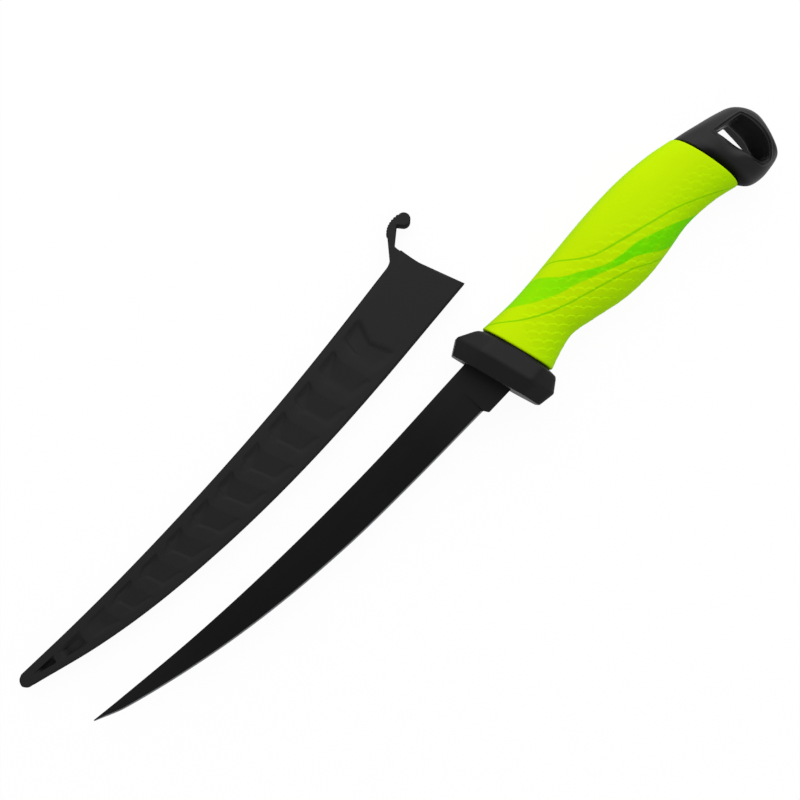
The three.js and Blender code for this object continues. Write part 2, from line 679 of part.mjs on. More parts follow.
const sheath = new THREE.Group();
sheath.position.set(...SHEATH_ASIDE, SHEATH_LEVEL);
sheath.rotation.z = THREE.MathUtils.degToRad(SHEATH_TURN);
sheath.add(piece('sheath_front', sheathShell(1), BLACK_PLASTIC));
sheath.add(piece('sheath_back', sheathShell(-1), BLACK_PLASTIC));
sheath.add(piece('sheath_latch', latch(), BLACK_PLASTIC));

const assembly = new THREE.Group();
assembly.add(knife, sheath);
export default assembly;
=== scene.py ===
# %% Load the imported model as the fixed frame
import math

import bpy
import numpy as np
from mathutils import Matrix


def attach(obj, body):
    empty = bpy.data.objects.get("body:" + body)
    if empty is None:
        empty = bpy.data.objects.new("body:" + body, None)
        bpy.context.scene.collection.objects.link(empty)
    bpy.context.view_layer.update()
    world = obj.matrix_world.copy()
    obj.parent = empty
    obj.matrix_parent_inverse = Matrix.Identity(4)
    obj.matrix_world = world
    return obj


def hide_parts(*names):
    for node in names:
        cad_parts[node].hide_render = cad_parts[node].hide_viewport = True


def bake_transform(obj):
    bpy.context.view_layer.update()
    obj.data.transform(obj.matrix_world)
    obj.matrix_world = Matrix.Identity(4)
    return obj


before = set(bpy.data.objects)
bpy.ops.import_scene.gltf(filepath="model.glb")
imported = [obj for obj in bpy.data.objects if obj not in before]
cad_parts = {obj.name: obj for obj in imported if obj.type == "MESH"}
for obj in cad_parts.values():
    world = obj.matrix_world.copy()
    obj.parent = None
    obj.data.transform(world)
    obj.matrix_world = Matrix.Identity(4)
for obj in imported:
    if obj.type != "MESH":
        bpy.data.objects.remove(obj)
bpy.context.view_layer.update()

# %% [markdown]
# The knife lies on its side: X runs along the tang towards the butt, Y towards the spine, Z up off the table.
# The sheath lies beside it, turned a little. Every visible piece below is a surface worked out with numpy in
# millimetres and scaled to metres at the end, so each number can be held against a rule on the real thing.

# %% Helpers: curves, grids and meshes
MM = 0.001
KNIFE_LEVEL = 13.0
SHARP_ANGLE = 32.0
SQUARENESS = 2.25
PAINTED_WALL_SHADE = 0.8


def lerp(a, b, t):
    return a + (b - a) * t


def smoothstep(low, high, x):
    t = np.clip((x - low) / (high - low), 0.0, 1.0)
    return t * t * (3 - 2 * t)


def unit(vectors):
    return vectors / np.linalg.norm(vectors, axis=-1, keepdims=True)


def quadratic(a, b, c, t):
    """From a (t = 0) to c (t = 1), leaving and arriving along the lines to b."""
    return (1 - t) ** 2 * a + 2 * t * (1 - t) * b + t ** 2 * c


def smooth_curve(xs, ys):
    """y(x) through points: cubic Hermite pieces with central slopes, straight past both ends."""
    xs, ys = np.asarray(xs, float), np.asarray(ys, float)
    index = np.arange(len(xs))
    before, after = np.maximum(index - 1, 0), np.minimum(index + 1, len(xs) - 1)
    slopes = (ys[after] - ys[before]) / (xs[after] - xs[before])

    def curve(x):
        x = np.asarray(x, float)
        i = np.clip(np.searchsorted(xs, x, side="right") - 1, 0, len(xs) - 2)
        span = xs[i + 1] - xs[i]
        t = np.clip((x - xs[i]) / span, 0.0, 1.0)
        past = x - np.clip(x, xs[0], xs[-1])
        bend = slopes[i] * t * (1 - t) ** 2 + slopes[i + 1] * t * t * (t - 1)
        outside = np.where(x < xs[0], slopes[0], slopes[-1]) * past
        return lerp(ys[i], ys[i + 1], t * t * (3 - 2 * t)) + bend * span + outside

    return curve


def grid_quads(rows, columns, wrap_rows=False, wrap_columns=False):
    """Corner numbers of a grid's quads, row by row, joined round where a direction wraps."""
    r = np.arange(rows if wrap_rows else rows - 1)[:, None]
    c = np.arange(columns if wrap_columns else columns - 1)[None, :]
    down, right = (r + 1) % rows, (c + 1) % columns
    corners = [r * columns + c, r * columns + right, down * columns + right, down * columns + c]
    return np.stack(np.broadcast_arrays(*corners), -1).reshape(-1, 4)


def wrapped_faces(points):
    """Faces of a grid that closes on itself both ways."""
    return grid_quads(*points.shape[:2], True, True).tolist()


def capped_faces(points):
    """Faces of a grid whose rows are closed loops, with one face over each end."""
    rows, columns = points.shape[:2]
    first, last = range(columns), range((rows - 1) * columns, rows * columns)
    return grid_quads(rows, columns, wrap_columns=True).tolist() + [list(first), list(last)[::-1]]


def make_mesh(name, points, faces, **attributes):
    """A smooth mesh object from points in millimetres, with its faces turned outwards."""
    mesh = bpy.data.meshes.new(name)
    mesh.from_pydata((points.reshape(-1, 3) * MM).tolist(), [], faces)
    mesh.validate()
    mesh.calc_loop_triangles()
    corners = np.empty(len(mesh.loop_triangles) * 3, np.int32)
    mesh.loop_triangles.foreach_get("vertices", corners)
    a, b, c = points.reshape(-1, 3)[corners.reshape(-1, 3)].transpose(1, 0, 2)
    volume = np.einsum("ij,ij->", a, np.cross(b, c)) / 6
    if volume < 0:
        mesh.flip_normals()
    for key, values in attributes.items():
        attribute = mesh.attributes.new(key, "FLOAT", "POINT")
        attribute.data.foreach_set("value", np.ravel(values).astype(np.float32))
    mesh.polygons.foreach_set("use_smooth", np.ones(len(mesh.polygons), bool))
    mesh.set_sharp_from_angle(angle=math.radians(SHARP_ANGLE))
    piece = bpy.data.objects.new(name, mesh)
    bpy.context.scene.collection.objects.link(piece)
    print(f"{name}: {len(corners) // 3} triangles, {abs(volume) / 1000:.1f} cm3")
    return piece


def dress(piece, body, slot, *nodes):
    """The piece rides on a body and stands for CAD nodes, which it hides. The slot is not used."""
    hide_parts(*nodes)
    if body:
        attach(piece, body)


# %% [markdown]
# Blade. A slim upswept fillet blade: flat sides near the spine, a grind that thins down to the edge, and a
# narrow bevel where the coating has been sharpened away. One section of seventeen stations a side is swept
# from the tip to the tang's end, so the grind, the plunge line, the notch at the heel and the flat ricasso are
# one unbroken skin.

# %% Blade outline
BLADE_REACH, HEEL_AT, TANG_LENGTH = 217.5, 19.3, 95.0
BLADE_AT = np.array([0.09, 0.28, 0.44, 0.61, 0.77, 0.94, 1.0]) * BLADE_REACH
spine_of = smooth_curve(BLADE_AT, [11.78, 10.94, 11.4, 12.98, 15.66, 19.93, 21.65])
edge_of = smooth_curve(BLADE_AT, [-6.5, -5.88, -4.43, -0.53, 5.7, 15.45, 21.1])
NOTCH_AT, RICASSO_BOTTOM = [17.3, 17.6, 18.1, 18.7], -8.6
notch_of = smooth_curve(NOTCH_AT, [RICASSO_BOTTOM, -8.35, -7.5, -6.43])
FINE_FROM, PLUNGE_FROM, PLUNGE_TO, SHOULDER_AT, FULL_END = 200, 18.45, 19.25, 3.7, 4.3
TANG_TOP, TANG_BOTTOM, TANG_CHAMFER = 7.5, -5.5, 2.0
BLADE_THICKNESS, TIP_THICKNESS, GRIND_SHARE, SPINE_ROUND = 2.4, 0.9, 0.42, 0.3
EDGE_BEVEL, EDGE_SHOULDER, EDGE_LAND = 0.6, 0.5, 0.1
ROUND_MIDDLE, WELL_ABOVE = 0.29, 5


def blade_rows():
    """Reach of each section, its top, its bottom and how far it is ground (1) or flat (0)."""
    ground = np.concatenate([np.linspace(BLADE_REACH, FINE_FROM, 30), np.linspace(FINE_FROM, HEEL_AT, 100)[1:]])
    heel = np.array([19.15, 19.0, 18.85, 18.7, 18.5, 18.3, 18.1, 17.9, 17.75, 17.6, 17.45, 17.3])
    flat = np.array([17.0, 14.0, 10.0, FULL_END, SHOULDER_AT, -TANG_LENGTH + TANG_CHAMFER, -TANG_LENGTH])
    reach = np.concatenate([ground, heel, flat])
    bottom = np.where(reach >= NOTCH_AT[-1], edge_of(reach), notch_of(np.maximum(reach, NOTCH_AT[0])))
    top = spine_of(np.maximum(reach, FULL_END))
    in_tang = reach < FULL_END
    chamfer = np.where(reach <= -TANG_LENGTH, TANG_CHAMFER, 0.0)
    top = np.where(in_tang, TANG_TOP - chamfer, top)
    bottom = np.where(in_tang, TANG_BOTTOM + chamfer, bottom)
    return reach, top, bottom, smoothstep(PLUNGE_FROM, PLUNGE_TO, reach)


def blade_sections():
    """Stations (y, z) down one side for every row: rounded spine, flat, grind, bevel, edge. The last value is each
    station's height above the bare bevel, and well above it on the flat ricasso."""
    reach, top, bottom, ground = (v[:, None] for v in blade_rows())
    along = np.clip((reach - HEEL_AT) / (BLADE_REACH - HEEL_AT), 0, 1)
    half = lerp(BLADE_THICKNESS, TIP_THICKNESS, along) / 2
    shoulder = lerp(EDGE_SHOULDER, EDGE_LAND, along ** 2) / 2
    grind = lerp(top, bottom, GRIND_SHARE)
    bevel = bottom + np.minimum(EDGE_BEVEL, (grind - bottom) / 2)
    r = np.minimum(SPINE_ROUND, 0.2 * (top - bottom))
    down_flat, down_grind = np.linspace(0, 1, 5)[None, 1:], np.linspace(0, 1, 9)[None, 1:]
    y = [top, top - ROUND_MIDDLE * r, top - r, lerp(top - r, grind, down_flat), lerp(grind, bevel, down_grind),
         lerp(bevel, bottom, 0.5), bottom]
    level = half * np.ones((1, 4))
    spine_side = [half - r, half - ROUND_MIDDLE * r, half, level]
    z_ground = spine_side + [lerp(half, shoulder, down_grind), lerp(shoulder, EDGE_LAND / 2, 0.5),
                             EDGE_LAND / 2 * np.ones_like(half)]
    z_flat = spine_side + [half * np.ones((1, 8)), half, half - 0.3 * r]
    y = np.concatenate(y, 1)
    z = lerp(np.concatenate(z_flat, 1), np.concatenate(z_ground, 1), ground)
    return reach, y, z, (y - bevel) + WELL_ABOVE * (1 - ground)


def blade_points():
    """Both sides of every section as one loop, with the heights above the bevel."""
    reach, y, z, above_edge = blade_sections()
    x = -reach * np.ones_like(y)
    side = np.stack([x, y, z], -1)
    other = np.stack([x, y, -z], -1)[:, ::-1]
    points = np.concatenate([side, other], 1) + [0, 0, KNIFE_LEVEL]
    return points, np.concatenate([above_edge, above_edge[:, ::-1]], 1)


points, above_edge = blade_points()
blade = make_mesh("coated_blade", points, capped_faces(points), above_edge=above_edge)
dress(blade, "knife", "coated_steel", "blade")

# %% [markdown]
# Guard. A thick eight-sided collar, bevelled to both sides of a narrow ridge and leaning with the handle. Each
# ring is a rounded polygon in polar form: its radius is a soft minimum over the sides' straight lines. The rings
# run round the section as a loop: front face, bevels, neck, tang slot, blade seat and back to the front.

# %% Guard rings
GUARD_SLANT, FRONT_SLANT, GUARD_LEVEL = 0.227, 0.245, -0.2
GUARD_HALF_HEIGHT, GUARD_HALF_WIDTH, GUARD_FLAT_HALF, GUARD_END_HALF = 21.7, 13.0, 11.0, 6.0
GUARD_FRONT, SEAT_END, NECK_FROM, NECK_END, SEAT_CHAMFER = -7.0, -3.4, 3.3, 8.3, 0.15
COLLAR_CRISPNESS, SLOT_CRISPNESS, COLLAR_POINTS = 46, 90, 224
turn = np.linspace(0, 2 * np.pi, COLLAR_POINTS, endpoint=False)


def rounded_polygon(normals, distances, crispness):
    """r(turn) = (sum over sides of max(cos(turn - n) / d, 0)^p)^(-1/p)."""
    pull = np.maximum(np.cos(turn[:, None] - np.asarray(normals)[None]), 0) / np.asarray(distances)[None]
    return np.sum(pull ** crispness, 1) ** (-1.0 / crispness)


def eight_sided(end_inset, side_inset, level):
    """Collar outline: two ends, two flats and four slanting sides about the knife's middle line."""
    end, half = GUARD_HALF_HEIGHT - end_inset, GUARD_HALF_WIDTH - side_inset
    lean = math.atan2(end - GUARD_FLAT_HALF, half - GUARD_END_HALF)
    slanting = half * math.sin(lean) + GUARD_FLAT_HALF * math.cos(lean)
    drop = level * math.cos(lean)
    normals = [0, lean, np.pi / 2, np.pi - lean, np.pi, np.pi + lean, 1.5 * np.pi, 2 * np.pi - lean]
    up, low = slanting + drop, slanting - drop
    distances = [end + level, up, half, low, end - level, low, half, up]
    return rounded_polygon(normals, distances, COLLAR_CRISPNESS)


def box_ring(top, bottom, half):
    """A slot's outline with almost sharp corners."""
    return rounded_polygon([0, np.pi / 2, np.pi, 1.5 * np.pi], [top, half, -bottom, half], SLOT_CRISPNESS)


def oval_ring(top, bottom, half):
    """Superellipse with its own height above and below the middle line."""
    height = np.where(np.cos(turn) > 0, top, -bottom)
    shape = np.abs(np.cos(turn) / height) ** SQUARENESS + np.abs(np.sin(turn) / half) ** SQUARENESS
    return shape ** (-1 / SQUARENESS)


def filleted(corners, radii, steps=5):
    """A polyline with its inner corners rounded: quadratic curves that leave each corner by its own length."""
    corners = np.asarray(corners, float)
    t = np.linspace(0, 1, steps)[:, None]
    path = [corners[:1]]
    for before, corner, after, radius in zip(corners, corners[1:], corners[2:], radii):
        a = corner + (before - corner) * radius / np.linalg.norm(before - corner)
        b = corner + (after - corner) * radius / np.linalg.norm(after - corner)
        path.append(quadratic(a, corner, b, t))
    return np.concatenate(path + [corners[-1:]])


# Along the axis, inset of the ends, inset of the flats, drop of the middle
collar = filleted([[GUARD_FRONT, 4.6, 4.6, 1.3], [GUARD_FRONT, 2.3, 2.7, 1.3], [-0.5, 0, 0, 0], [0.5, 0, 0, 0],
                   [6.2, 3.5, 1.7, 0], [8.1, 5.6, 2.3, 0]], [0.5, 0.3, 0.3, 1.0])[:-1]
neck = oval_ring(15.6, -14.3, 10.5)
tang_slot, blade_seat = box_ring(7.8, -5.8, 1.5), box_ring(13.0, -8.9, 1.5)
rings = []
for axial, end_inset, side_inset, drop in collar:
    outer = eight_sided(end_inset, side_inset, GUARD_LEVEL - drop)
    rings.append((axial, np.maximum(outer, neck) if axial > NECK_FROM else outer))
front_face, rear_edge = rings[0][1], rings[-1][1]
rings += [(7.6, lerp(rear_edge, neck, 0.55)), (8.05, lerp(rear_edge, neck, 0.93)), (8.2, neck)]
rings += [(NECK_END, ring) for ring in (neck - 0.25, lerp(neck, tang_slot, 0.5), tang_slot)]
rings += [(2.0, tang_slot), (SEAT_END, tang_slot), (SEAT_END, blade_seat),
          (GUARD_FRONT + SEAT_CHAMFER, blade_seat)]
rings += [(GUARD_FRONT, ring) for ring in (blade_seat + SEAT_CHAMFER, lerp(blade_seat, front_face, 0.4),
                                           lerp(blade_seat, front_face, 0.8))]
axial = np.array([ring[0] for ring in rings])[:, None]
radius = np.array([ring[1] for ring in rings])
y, z = radius * np.cos(turn), radius * np.sin(turn)
slant = np.interp(axial, [GUARD_FRONT, 0], [FRONT_SLANT, GUARD_SLANT])
points = np.stack([axial - slant * y, y, z + KNIFE_LEVEL], -1)
guard = make_mesh("guard_collar", points, wrapped_faces(points))
dress(guard, "knife", "guard_plastic", "guard")

# %% [markdown]
# Sleeve. The soft grip is one tube of oval rings: a waist behind the guard, a palm swell and a flare at the
# butt. Its belly half carries rows of small fish scales moulded into the skin. They are real relief here: a
# sawtooth across the rows, whose hem is a chain of shallow arcs, pushed out along the surface's normal. The
# stripes are coloured into the rubber, so the mesh only carries each vertex's distance from them.

# %% Sleeve surface
GRIP_START, GRIP_LENGTH, GRIP_LIP, GRIP_WALL, REAR_SLANT = 8.6, 106.4, 0.8, 2.6, 0.157
GRIP_AT = [0, 0.1, 0.17, 0.26, 0.39, 0.51, 0.63, 0.765, 0.9, 1]
grip_top = smooth_curve(GRIP_AT, [16.5, 15.6, 15.4, 15.8, 16.8, 17.7, 18.25, 18.05, 16.3, 13.8])
grip_belly = smooth_curve(GRIP_AT, [-15.2, -12.2, -11.2, -13.3, -16.6, -17.45, -16.3, -14.45, -15.6, -18.3])
grip_half = smooth_curve(GRIP_AT, [11.4, 10.7, 10.6, 11.2, 12.3, 12.9, 12.4, 11, 9.9, 9.6])
OVAL_POWER, GRIP_RINGS, GRIP_POINTS = 2 / SQUARENESS, 306, 280


def grip_surface(share, inset, angle):
    """Oval rings: y from belly to spine by the ring's turn, x leaning with the rings, z across."""
    up = np.sign(np.cos(angle)) * np.abs(np.cos(angle)) ** OVAL_POWER
    out = np.sign(np.sin(angle)) * np.abs(np.sin(angle)) ** OVAL_POWER
    top, belly = grip_top(share) - inset, grip_belly(share) + inset
    y = lerp(belly, top, (1 + up) / 2)
    x = GRIP_START + share * GRIP_LENGTH - lerp(GUARD_SLANT, REAR_SLANT, share) * y
    return np.stack(np.broadcast_arrays(x, y, (grip_half(share) - inset) * out + KNIFE_LEVEL), -1)


lip_turn = np.linspace(0, np.pi / 2, 6)
lip_share = GRIP_LIP * (1 - np.cos(lip_turn)) / GRIP_LENGTH
lip_inset = GRIP_LIP * (1 - np.sin(lip_turn))
body_share = np.linspace(lip_share[-1], 1 - lip_share[-1], GRIP_RINGS)
skin_share = np.concatenate([lip_share[:-1], body_share, 1 - lip_share[-2::-1]])[:, None]
skin_inset = np.concatenate([lip_inset[:-1], 0 * body_share, lip_inset[-2::-1]])[:, None]
angle = np.linspace(-np.pi, np.pi, GRIP_POINTS, endpoint=False)[None, :]
skin = grip_surface(skin_share, skin_inset, angle)
print("sleeve skin:", skin.shape[:2], "rings by points")

# %% Scale relief
ROW_STEP, SCALE_WIDTH, HEM_RISE, STEP_HEIGHT = 3.85, 4.4, 0.55, 0.26
ROW_COS, ROW_SIN, PIT_WIDTH, PIT_HEIGHT, PIT_DEPTH = 0.55, 0.84, 0.6, 0.55, 0.2
relief_from = smooth_curve([0.0, 0.06, 0.118, 0.221, 0.316, 0.434, 0.566, 0.669, 0.787, 0.945, 1.0],
                           [0.56, 0.424, 0.296, 0.241, 0.283, 0.318, 0.376, 0.439, 0.476, 0.451, 0.43])
ring_step = np.linalg.norm(np.diff(skin, axis=1, append=skin[:, :1]), axis=2)
round_trip = np.cumsum(ring_step, 1) - ring_step
half_girth = ring_step.sum(1, keepdims=True) / 2
girth = np.abs(round_trip - half_girth)
belly_turn = np.abs(angle) / np.pi
along = skin_share * GRIP_LENGTH


def scale_relief(along, girth):
    """Fish scales on rows that run along a, with b across them: the hem of row k is the chain of arcs
    b = k step - rise (2 p - 1)^2 over one scale's width p; the skin climbs to a hem, drops there, and has
    a small pit where two scales meet. Returns the climb and the pits, each from 0 to 1."""
    a, b = ROW_COS * along + ROW_SIN * girth, ROW_SIN * along - ROW_COS * girth

    def place(k):
        return np.mod(a / SCALE_WIDTH + 0.5 * np.mod(k, 2), 1)

    def hem(k):
        return k * ROW_STEP - HEM_RISE * (2 * place(k) - 1) ** 2

    def pit(k):
        aside = (np.mod(place(k) + 0.5, 1) - 0.5) * SCALE_WIDTH
        return np.exp(-(aside / PIT_WIDTH) ** 2 - ((b - k * ROW_STEP + HEM_RISE) / PIT_HEIGHT) ** 2)

    k = np.floor(b / ROW_STEP)
    k = np.where(b >= hem(k + 1), k + 1, k)
    return (b - hem(k)) / (hem(k + 1) - hem(k)), np.maximum(pit(k), pit(k + 1))


past_start = (belly_turn - relief_from(skin_share)) * half_girth
ends = smoothstep(1, 4, along) * smoothstep(1, 4, GRIP_LENGTH - along)
climb, pits = scale_relief(along, girth)
fade = lerp(1.0, 0.5, smoothstep(50, 80, along)) * lerp(1, 0.35, smoothstep(0.72, 0.9, belly_turn))
step_height = STEP_HEIGHT * fade
relief = smoothstep(0, 3, past_start) * ends * (step_height * (climb ** 1.6 - 0.6) - PIT_DEPTH * pits)
print("scale relief from", relief.min().round(2), "to", relief.max().round(2), "mm")
across = np.roll(skin, -1, 1) - np.roll(skin, 1, 1)
normal = unit(np.cross(np.gradient(skin, axis=0), across))
outwards = np.sign(np.sum(normal * (skin - skin.mean(1, keepdims=True)), 2, keepdims=True))
skin = skin + relief[..., None] * normal * outwards

# %% Stripes as distances on the sleeve
FAR_OFF = 9.0
# Shares of the length, and at each the share of the way from spine to belly
STRIPES = {
    "line_upper": ([0.3, 0.338, 0.388, 0.423, 0.454, 0.531, 0.617, 0.702, 0.782, 0.842, 0.9, 1],
                   [0, 0.12, 0.31, 0.39, 0.43, 0.48, 0.526, 0.588, 0.655, 0.722, 0.793, 0.95]),
    "line_lower": ([0, 0.04, 0.09, 0.158, 0.218, 0.283, 0.351, 0.414, 0.496, 0.584, 0.63],
                   [0, 0.168, 0.347, 0.479, 0.53, 0.565, 0.594, 0.627, 0.697, 0.874, 1]),
    "band_upper": ([0.23, 0.263, 0.308, 0.363, 0.426, 0.501, 0.574, 0.654, 0.714, 0.774, 0.83],
                   [0, 0.125, 0.335, 0.43, 0.503, 0.541, 0.568, 0.643, 0.722, 0.838, 0.98]),
    "band_lower": ([0.09, 0.115, 0.168, 0.206, 0.251, 0.326, 0.398, 0.471, 0.536, 0.629, 0.68],
                   [0, 0.125, 0.312, 0.387, 0.442, 0.485, 0.527, 0.588, 0.642, 0.849, 1]),
}


def stripe_distance(name):
    """Millimetres from a stripe t(s), towards the belly: (t - t(s)) G / sqrt(1 + (t'(s) G / L)^2)."""
    stripe = smooth_curve(*STRIPES[name])
    slope = (stripe(skin_share + 0.002) - stripe(skin_share - 0.002)) / 0.004
    steepness = slope * half_girth / GRIP_LENGTH
    return (belly_turn - stripe(skin_share)) * half_girth / np.sqrt(1 + steepness ** 2)


bore_share = np.linspace(1, 0, 12)[:, None]
bore = grip_surface(bore_share, GRIP_WALL, angle)
points = np.concatenate([skin, bore])
pad = [(0, len(bore)), (0, 0)]
fields = {name: np.pad(stripe_distance(name), pad, constant_values=FAR_OFF) for name in STRIPES}
fields["along_grip"] = np.pad(along * np.ones_like(girth), pad)
fields["belly_turn"] = np.pad(belly_turn * np.ones_like(girth), pad)
sleeve = make_mesh("soft_sleeve", points, wrapped_faces(points), **fields)
dress(sleeve, "knife", "soft_grip", "grip_sleeve")

# %% [markdown]
# Butt cap. A hooked end cap with a lanyard window through it. The window is narrowest half way through, where
# two mould halves meet. The body is a height field: slanting ovals from the sleeve's end to a round butt. The
# mesh goes round the window: for each direction one path climbs the window's wall, rolls over the rim, runs
# down to the outline, and goes back the same way below. On the handle's side the rim is rolled far over, a
# saddle for the cord.

# %% Butt cap as a height field
CAP_START, CAP_LENGTH, CAP_STEP, CAP_ROUND = 115.3, 27.2, 0.5, 0.9
HOLLOW_DEPTH, HOLLOW_LENGTH, PAINTED_HOLLOW_SHADE, HOLLOW_SHADE_LENGTH = 0.25, 2.4, 0.75, 2.6
CAP_SPINE_ALONG = [0, 0.167, 0.345, 0.526, 0.688, 0.819, 0.911, 0.977, 1, 1]
CAP_SPINE = [13.8 - CAP_STEP, 12.2, 10.75, 9.3, 7.8, 6.2, 3.4, -0.3, -4.8, -6.5]
CAP_BELLY_ALONG = [0, 0.123, 0.319, 0.506, 0.649, 0.741, 0.808, 0.884, 0.964, 0.985]
CAP_BELLY = [-18.3 + CAP_STEP, -22.0, -23.3, -23.0, -22.4, -21.25, -18, -13.7, -8.5, -7]
CAP_HALF = [9.1, 10.3, 11.6, 12.1, 12, 11.8, 10.7, 8, 4.5, 0.01]
cap_at = np.linspace(0, 9 / 8, 10)
cap_curves = [smooth_curve(cap_at, values)
              for values in (CAP_SPINE_ALONG, CAP_SPINE, CAP_BELLY_ALONG, CAP_BELLY, CAP_HALF)]


def cap_ring(at):
    """Spine point, belly point and half thickness of the slanting oval at a place along the cap."""
    spine_along, spine, belly_along, belly, half = (curve(at) for curve in cap_curves)
    fade = REAR_SLANT * np.maximum(1 - at, 0)
    sx = CAP_START + spine_along * CAP_LENGTH - fade * spine
    bx = CAP_START + belly_along * CAP_LENGTH - fade * belly
    return sx, spine, bx, belly, half


def cap_height(x, y):
    """Height of the cap's skin over its middle plane, 0 outside; the front edge is rounded, and behind it the
    belly half is hollowed."""
    low, high = np.zeros_like(x), np.full_like(x, cap_at[-1])
    for _ in range(36):
        at = (low + high) / 2
        sx, sy, bx, by = cap_ring(at)[:4]
        beyond = (x - bx) * (sy - by) - (y - by) * (sx - bx) > 0
        low, high = np.where(beyond, at, low), np.where(beyond, high, at)
    sx, sy, bx, by, half = cap_ring(at)
    up = np.clip(2 * (y - by) / np.maximum(sy - by, 1e-6) - 1, -1, 1)
    height = half * (1 - np.abs(up) ** SQUARENESS) ** (1 / SQUARENESS)
    front = x - (CAP_START - REAR_SLANT * y)
    rounding = 1 - np.clip(1 - front / CAP_ROUND, 0, 1) ** 4
    hollow = HOLLOW_DEPTH * np.exp(-(front / HOLLOW_LENGTH) ** 2) * smoothstep(0.35, -0.3, up)
    inside = (front > 0) & (at < cap_at[-1] - 1e-6)
    return np.where(inside, height * rounding ** 0.25 * (1 - hollow), 0.0)


# %% Lanyard window
WINDOW_MIDDLE = np.array([130.0, -6.2])
DRAFT_ABOVE, DRAFT_BELOW, RIM_ROLL, SADDLE_ROLL, WALL_ROWS = 0.27, 0.2, 0.3, 4.6, 10


def bezier(a, b, c, steps):
    """Quadratic curve from a towards c, pulled to b, without its last point."""
    t = np.linspace(0, 1, steps, endpoint=False)[:, None]
    return quadratic(*np.array([a, b, c], float), t)


def window_path(flare):
    """The window's outline, grown by a flare on all sides but the spine's; same place, same number of points."""
    start, top, corner = 127.1 - flare, 3.5, 0.5
    bottom, shoulder, butt = -16.5 - flare, 1.3, 132.9 + flare

    def handle_side(y):
        return start - REAR_SLANT * y

    heel = np.array([butt - 1.2, bottom + 5.5])
    middle = [(butt + handle_side(bottom)) / 2 - 0.6, bottom]
    first, low = [handle_side(top - corner), top - corner], [handle_side(bottom + 2.6), bottom + 2.6]
    spine_start, spine_end = [handle_side(top) + corner, top], [butt - 2 * corner, shoulder]
    butt_start = [butt, shoulder - 2 * corner]
    return np.concatenate([
        bezier(first, [handle_side(top), top], spine_start, 10),
        bezier(spine_start, np.add(spine_start, spine_end) / 2, spine_end, 30),
        bezier(spine_end, [butt, shoulder], butt_start, 16),
        bezier(butt_start, [butt + 0.2, (shoulder + bottom) / 2], heel, 40),
        bezier(heel, [butt - 3.0, bottom], middle, 36),
        bezier(middle, [handle_side(bottom), bottom], low, 24),
        bezier(low, np.add(low, first) / 2, first, 60),
    ])


waist = window_path(0.0)
spread = window_path(1.0) - waist


def rim_of(draft):
    """Where the window's wall, leaning by its draft, meets the cap's skin: place and height."""
    height = np.full(len(waist), 11.0)
    for _ in range(12):
        place = waist + draft * height[:, None] * spread
        height = cap_height(*place.T)
    return place, height


heading = unit(rim_of(DRAFT_ABOVE)[0] - WINDOW_MIDDLE)
steps = np.linspace(4, 40, 1200)[:, None]
probe = WINDOW_MIDDLE + steps[..., None] * heading
reach = np.where(cap_height(probe[..., 0], probe[..., 1]) > 0, steps, 0).max(0)
outline = WINDOW_MIDDLE + reach[:, None] * heading
print("window", np.ptp(waist, 0).round(1), "mm, cap outline", np.ptp(outline, 0).round(1), "mm")

# %% Butt cap mesh
saddle = np.clip(-heading[:, 0], 0, 1) ** 2.0 * smoothstep(-1.0, 0.35, 0.6 - np.abs(heading[:, 1]))


def bead_height(distance):
    """Bead round the window: a groove and a low ridge outside the rim, which fade out on the handle's side."""
    groove, ridge = np.exp(-((distance - 0.8) / 0.28) ** 2), np.exp(-((distance - 1.45) / 0.3) ** 2)
    return (0.3 * ridge - 0.34 * groove) * np.clip(1 - 2.5 * saddle, 0, 1)


def cap_half(draft):
    """Points of one half over the middle plane, row by row: up the wall, over the rim, down to the outline."""
    rim, rim_z = rim_of(draft)
    room = np.linalg.norm(outline - rim, axis=1)
    outward = (outline - rim) / room[:, None]
    roll = np.minimum(lerp(RIM_ROLL, SADDLE_ROLL, saddle), 0.6 * room)
    wall_z = np.linspace(0, 1, WALL_ROWS)[:, None] * (rim_z - np.minimum(roll, rim_z - 1.5))
    wall = waist + draft * wall_z[..., None] * spread
    crown = rim + roll[:, None] * outward
    foot, edge = np.column_stack((wall[-1], wall_z[-1])), np.column_stack((rim, rim_z))
    top = np.column_stack((crown, cap_height(*crown.T)))
    t = np.linspace(0, 1, 10)[1:, None, None]
    over = quadratic(foot, edge, top, t)
    bead = roll + np.minimum(1, 0.4 * (room - roll)) * np.linspace(0, 2.2, 14)[1:, None]
    rest = bead[-1] + (room - bead[-1]) * np.sin(np.linspace(0, np.pi / 2, 36)[1:, None])
    away = np.concatenate([bead, rest])
    skin = rim + away[..., None] * outward
    skin_z = cap_height(skin[..., 0], skin[..., 1]) + bead_height(away)
    skin_z[-1] = 0
    return np.concatenate([np.dstack([wall, wall_z]), over, np.dstack([skin, skin_z])])


upper, lower = cap_half(DRAFT_ABOVE), cap_half(DRAFT_BELOW)
points = np.concatenate([upper, lower[-2:0:-1] * [1, 1, -1]]) + [0, 0, KNIFE_LEVEL]
# Painted shade: a flat dark grey without gloss in the hollow behind the sleeve's belly half and on the window's
# lower wall, where shade falls.
behind_sleeve = points[..., 0] - CAP_START + REAR_SLANT * points[..., 1]
dull = PAINTED_HOLLOW_SHADE * np.exp(-(behind_sleeve / HOLLOW_SHADE_LENGTH) ** 4) * smoothstep(8, -2, points[..., 1])
dull[1 - WALL_ROWS:] = PAINTED_WALL_SHADE
cap = make_mesh("butt_cap_shell", points, wrapped_faces(points), dull=dull)
dress(cap, "knife", "guard_plastic", "butt_cap")

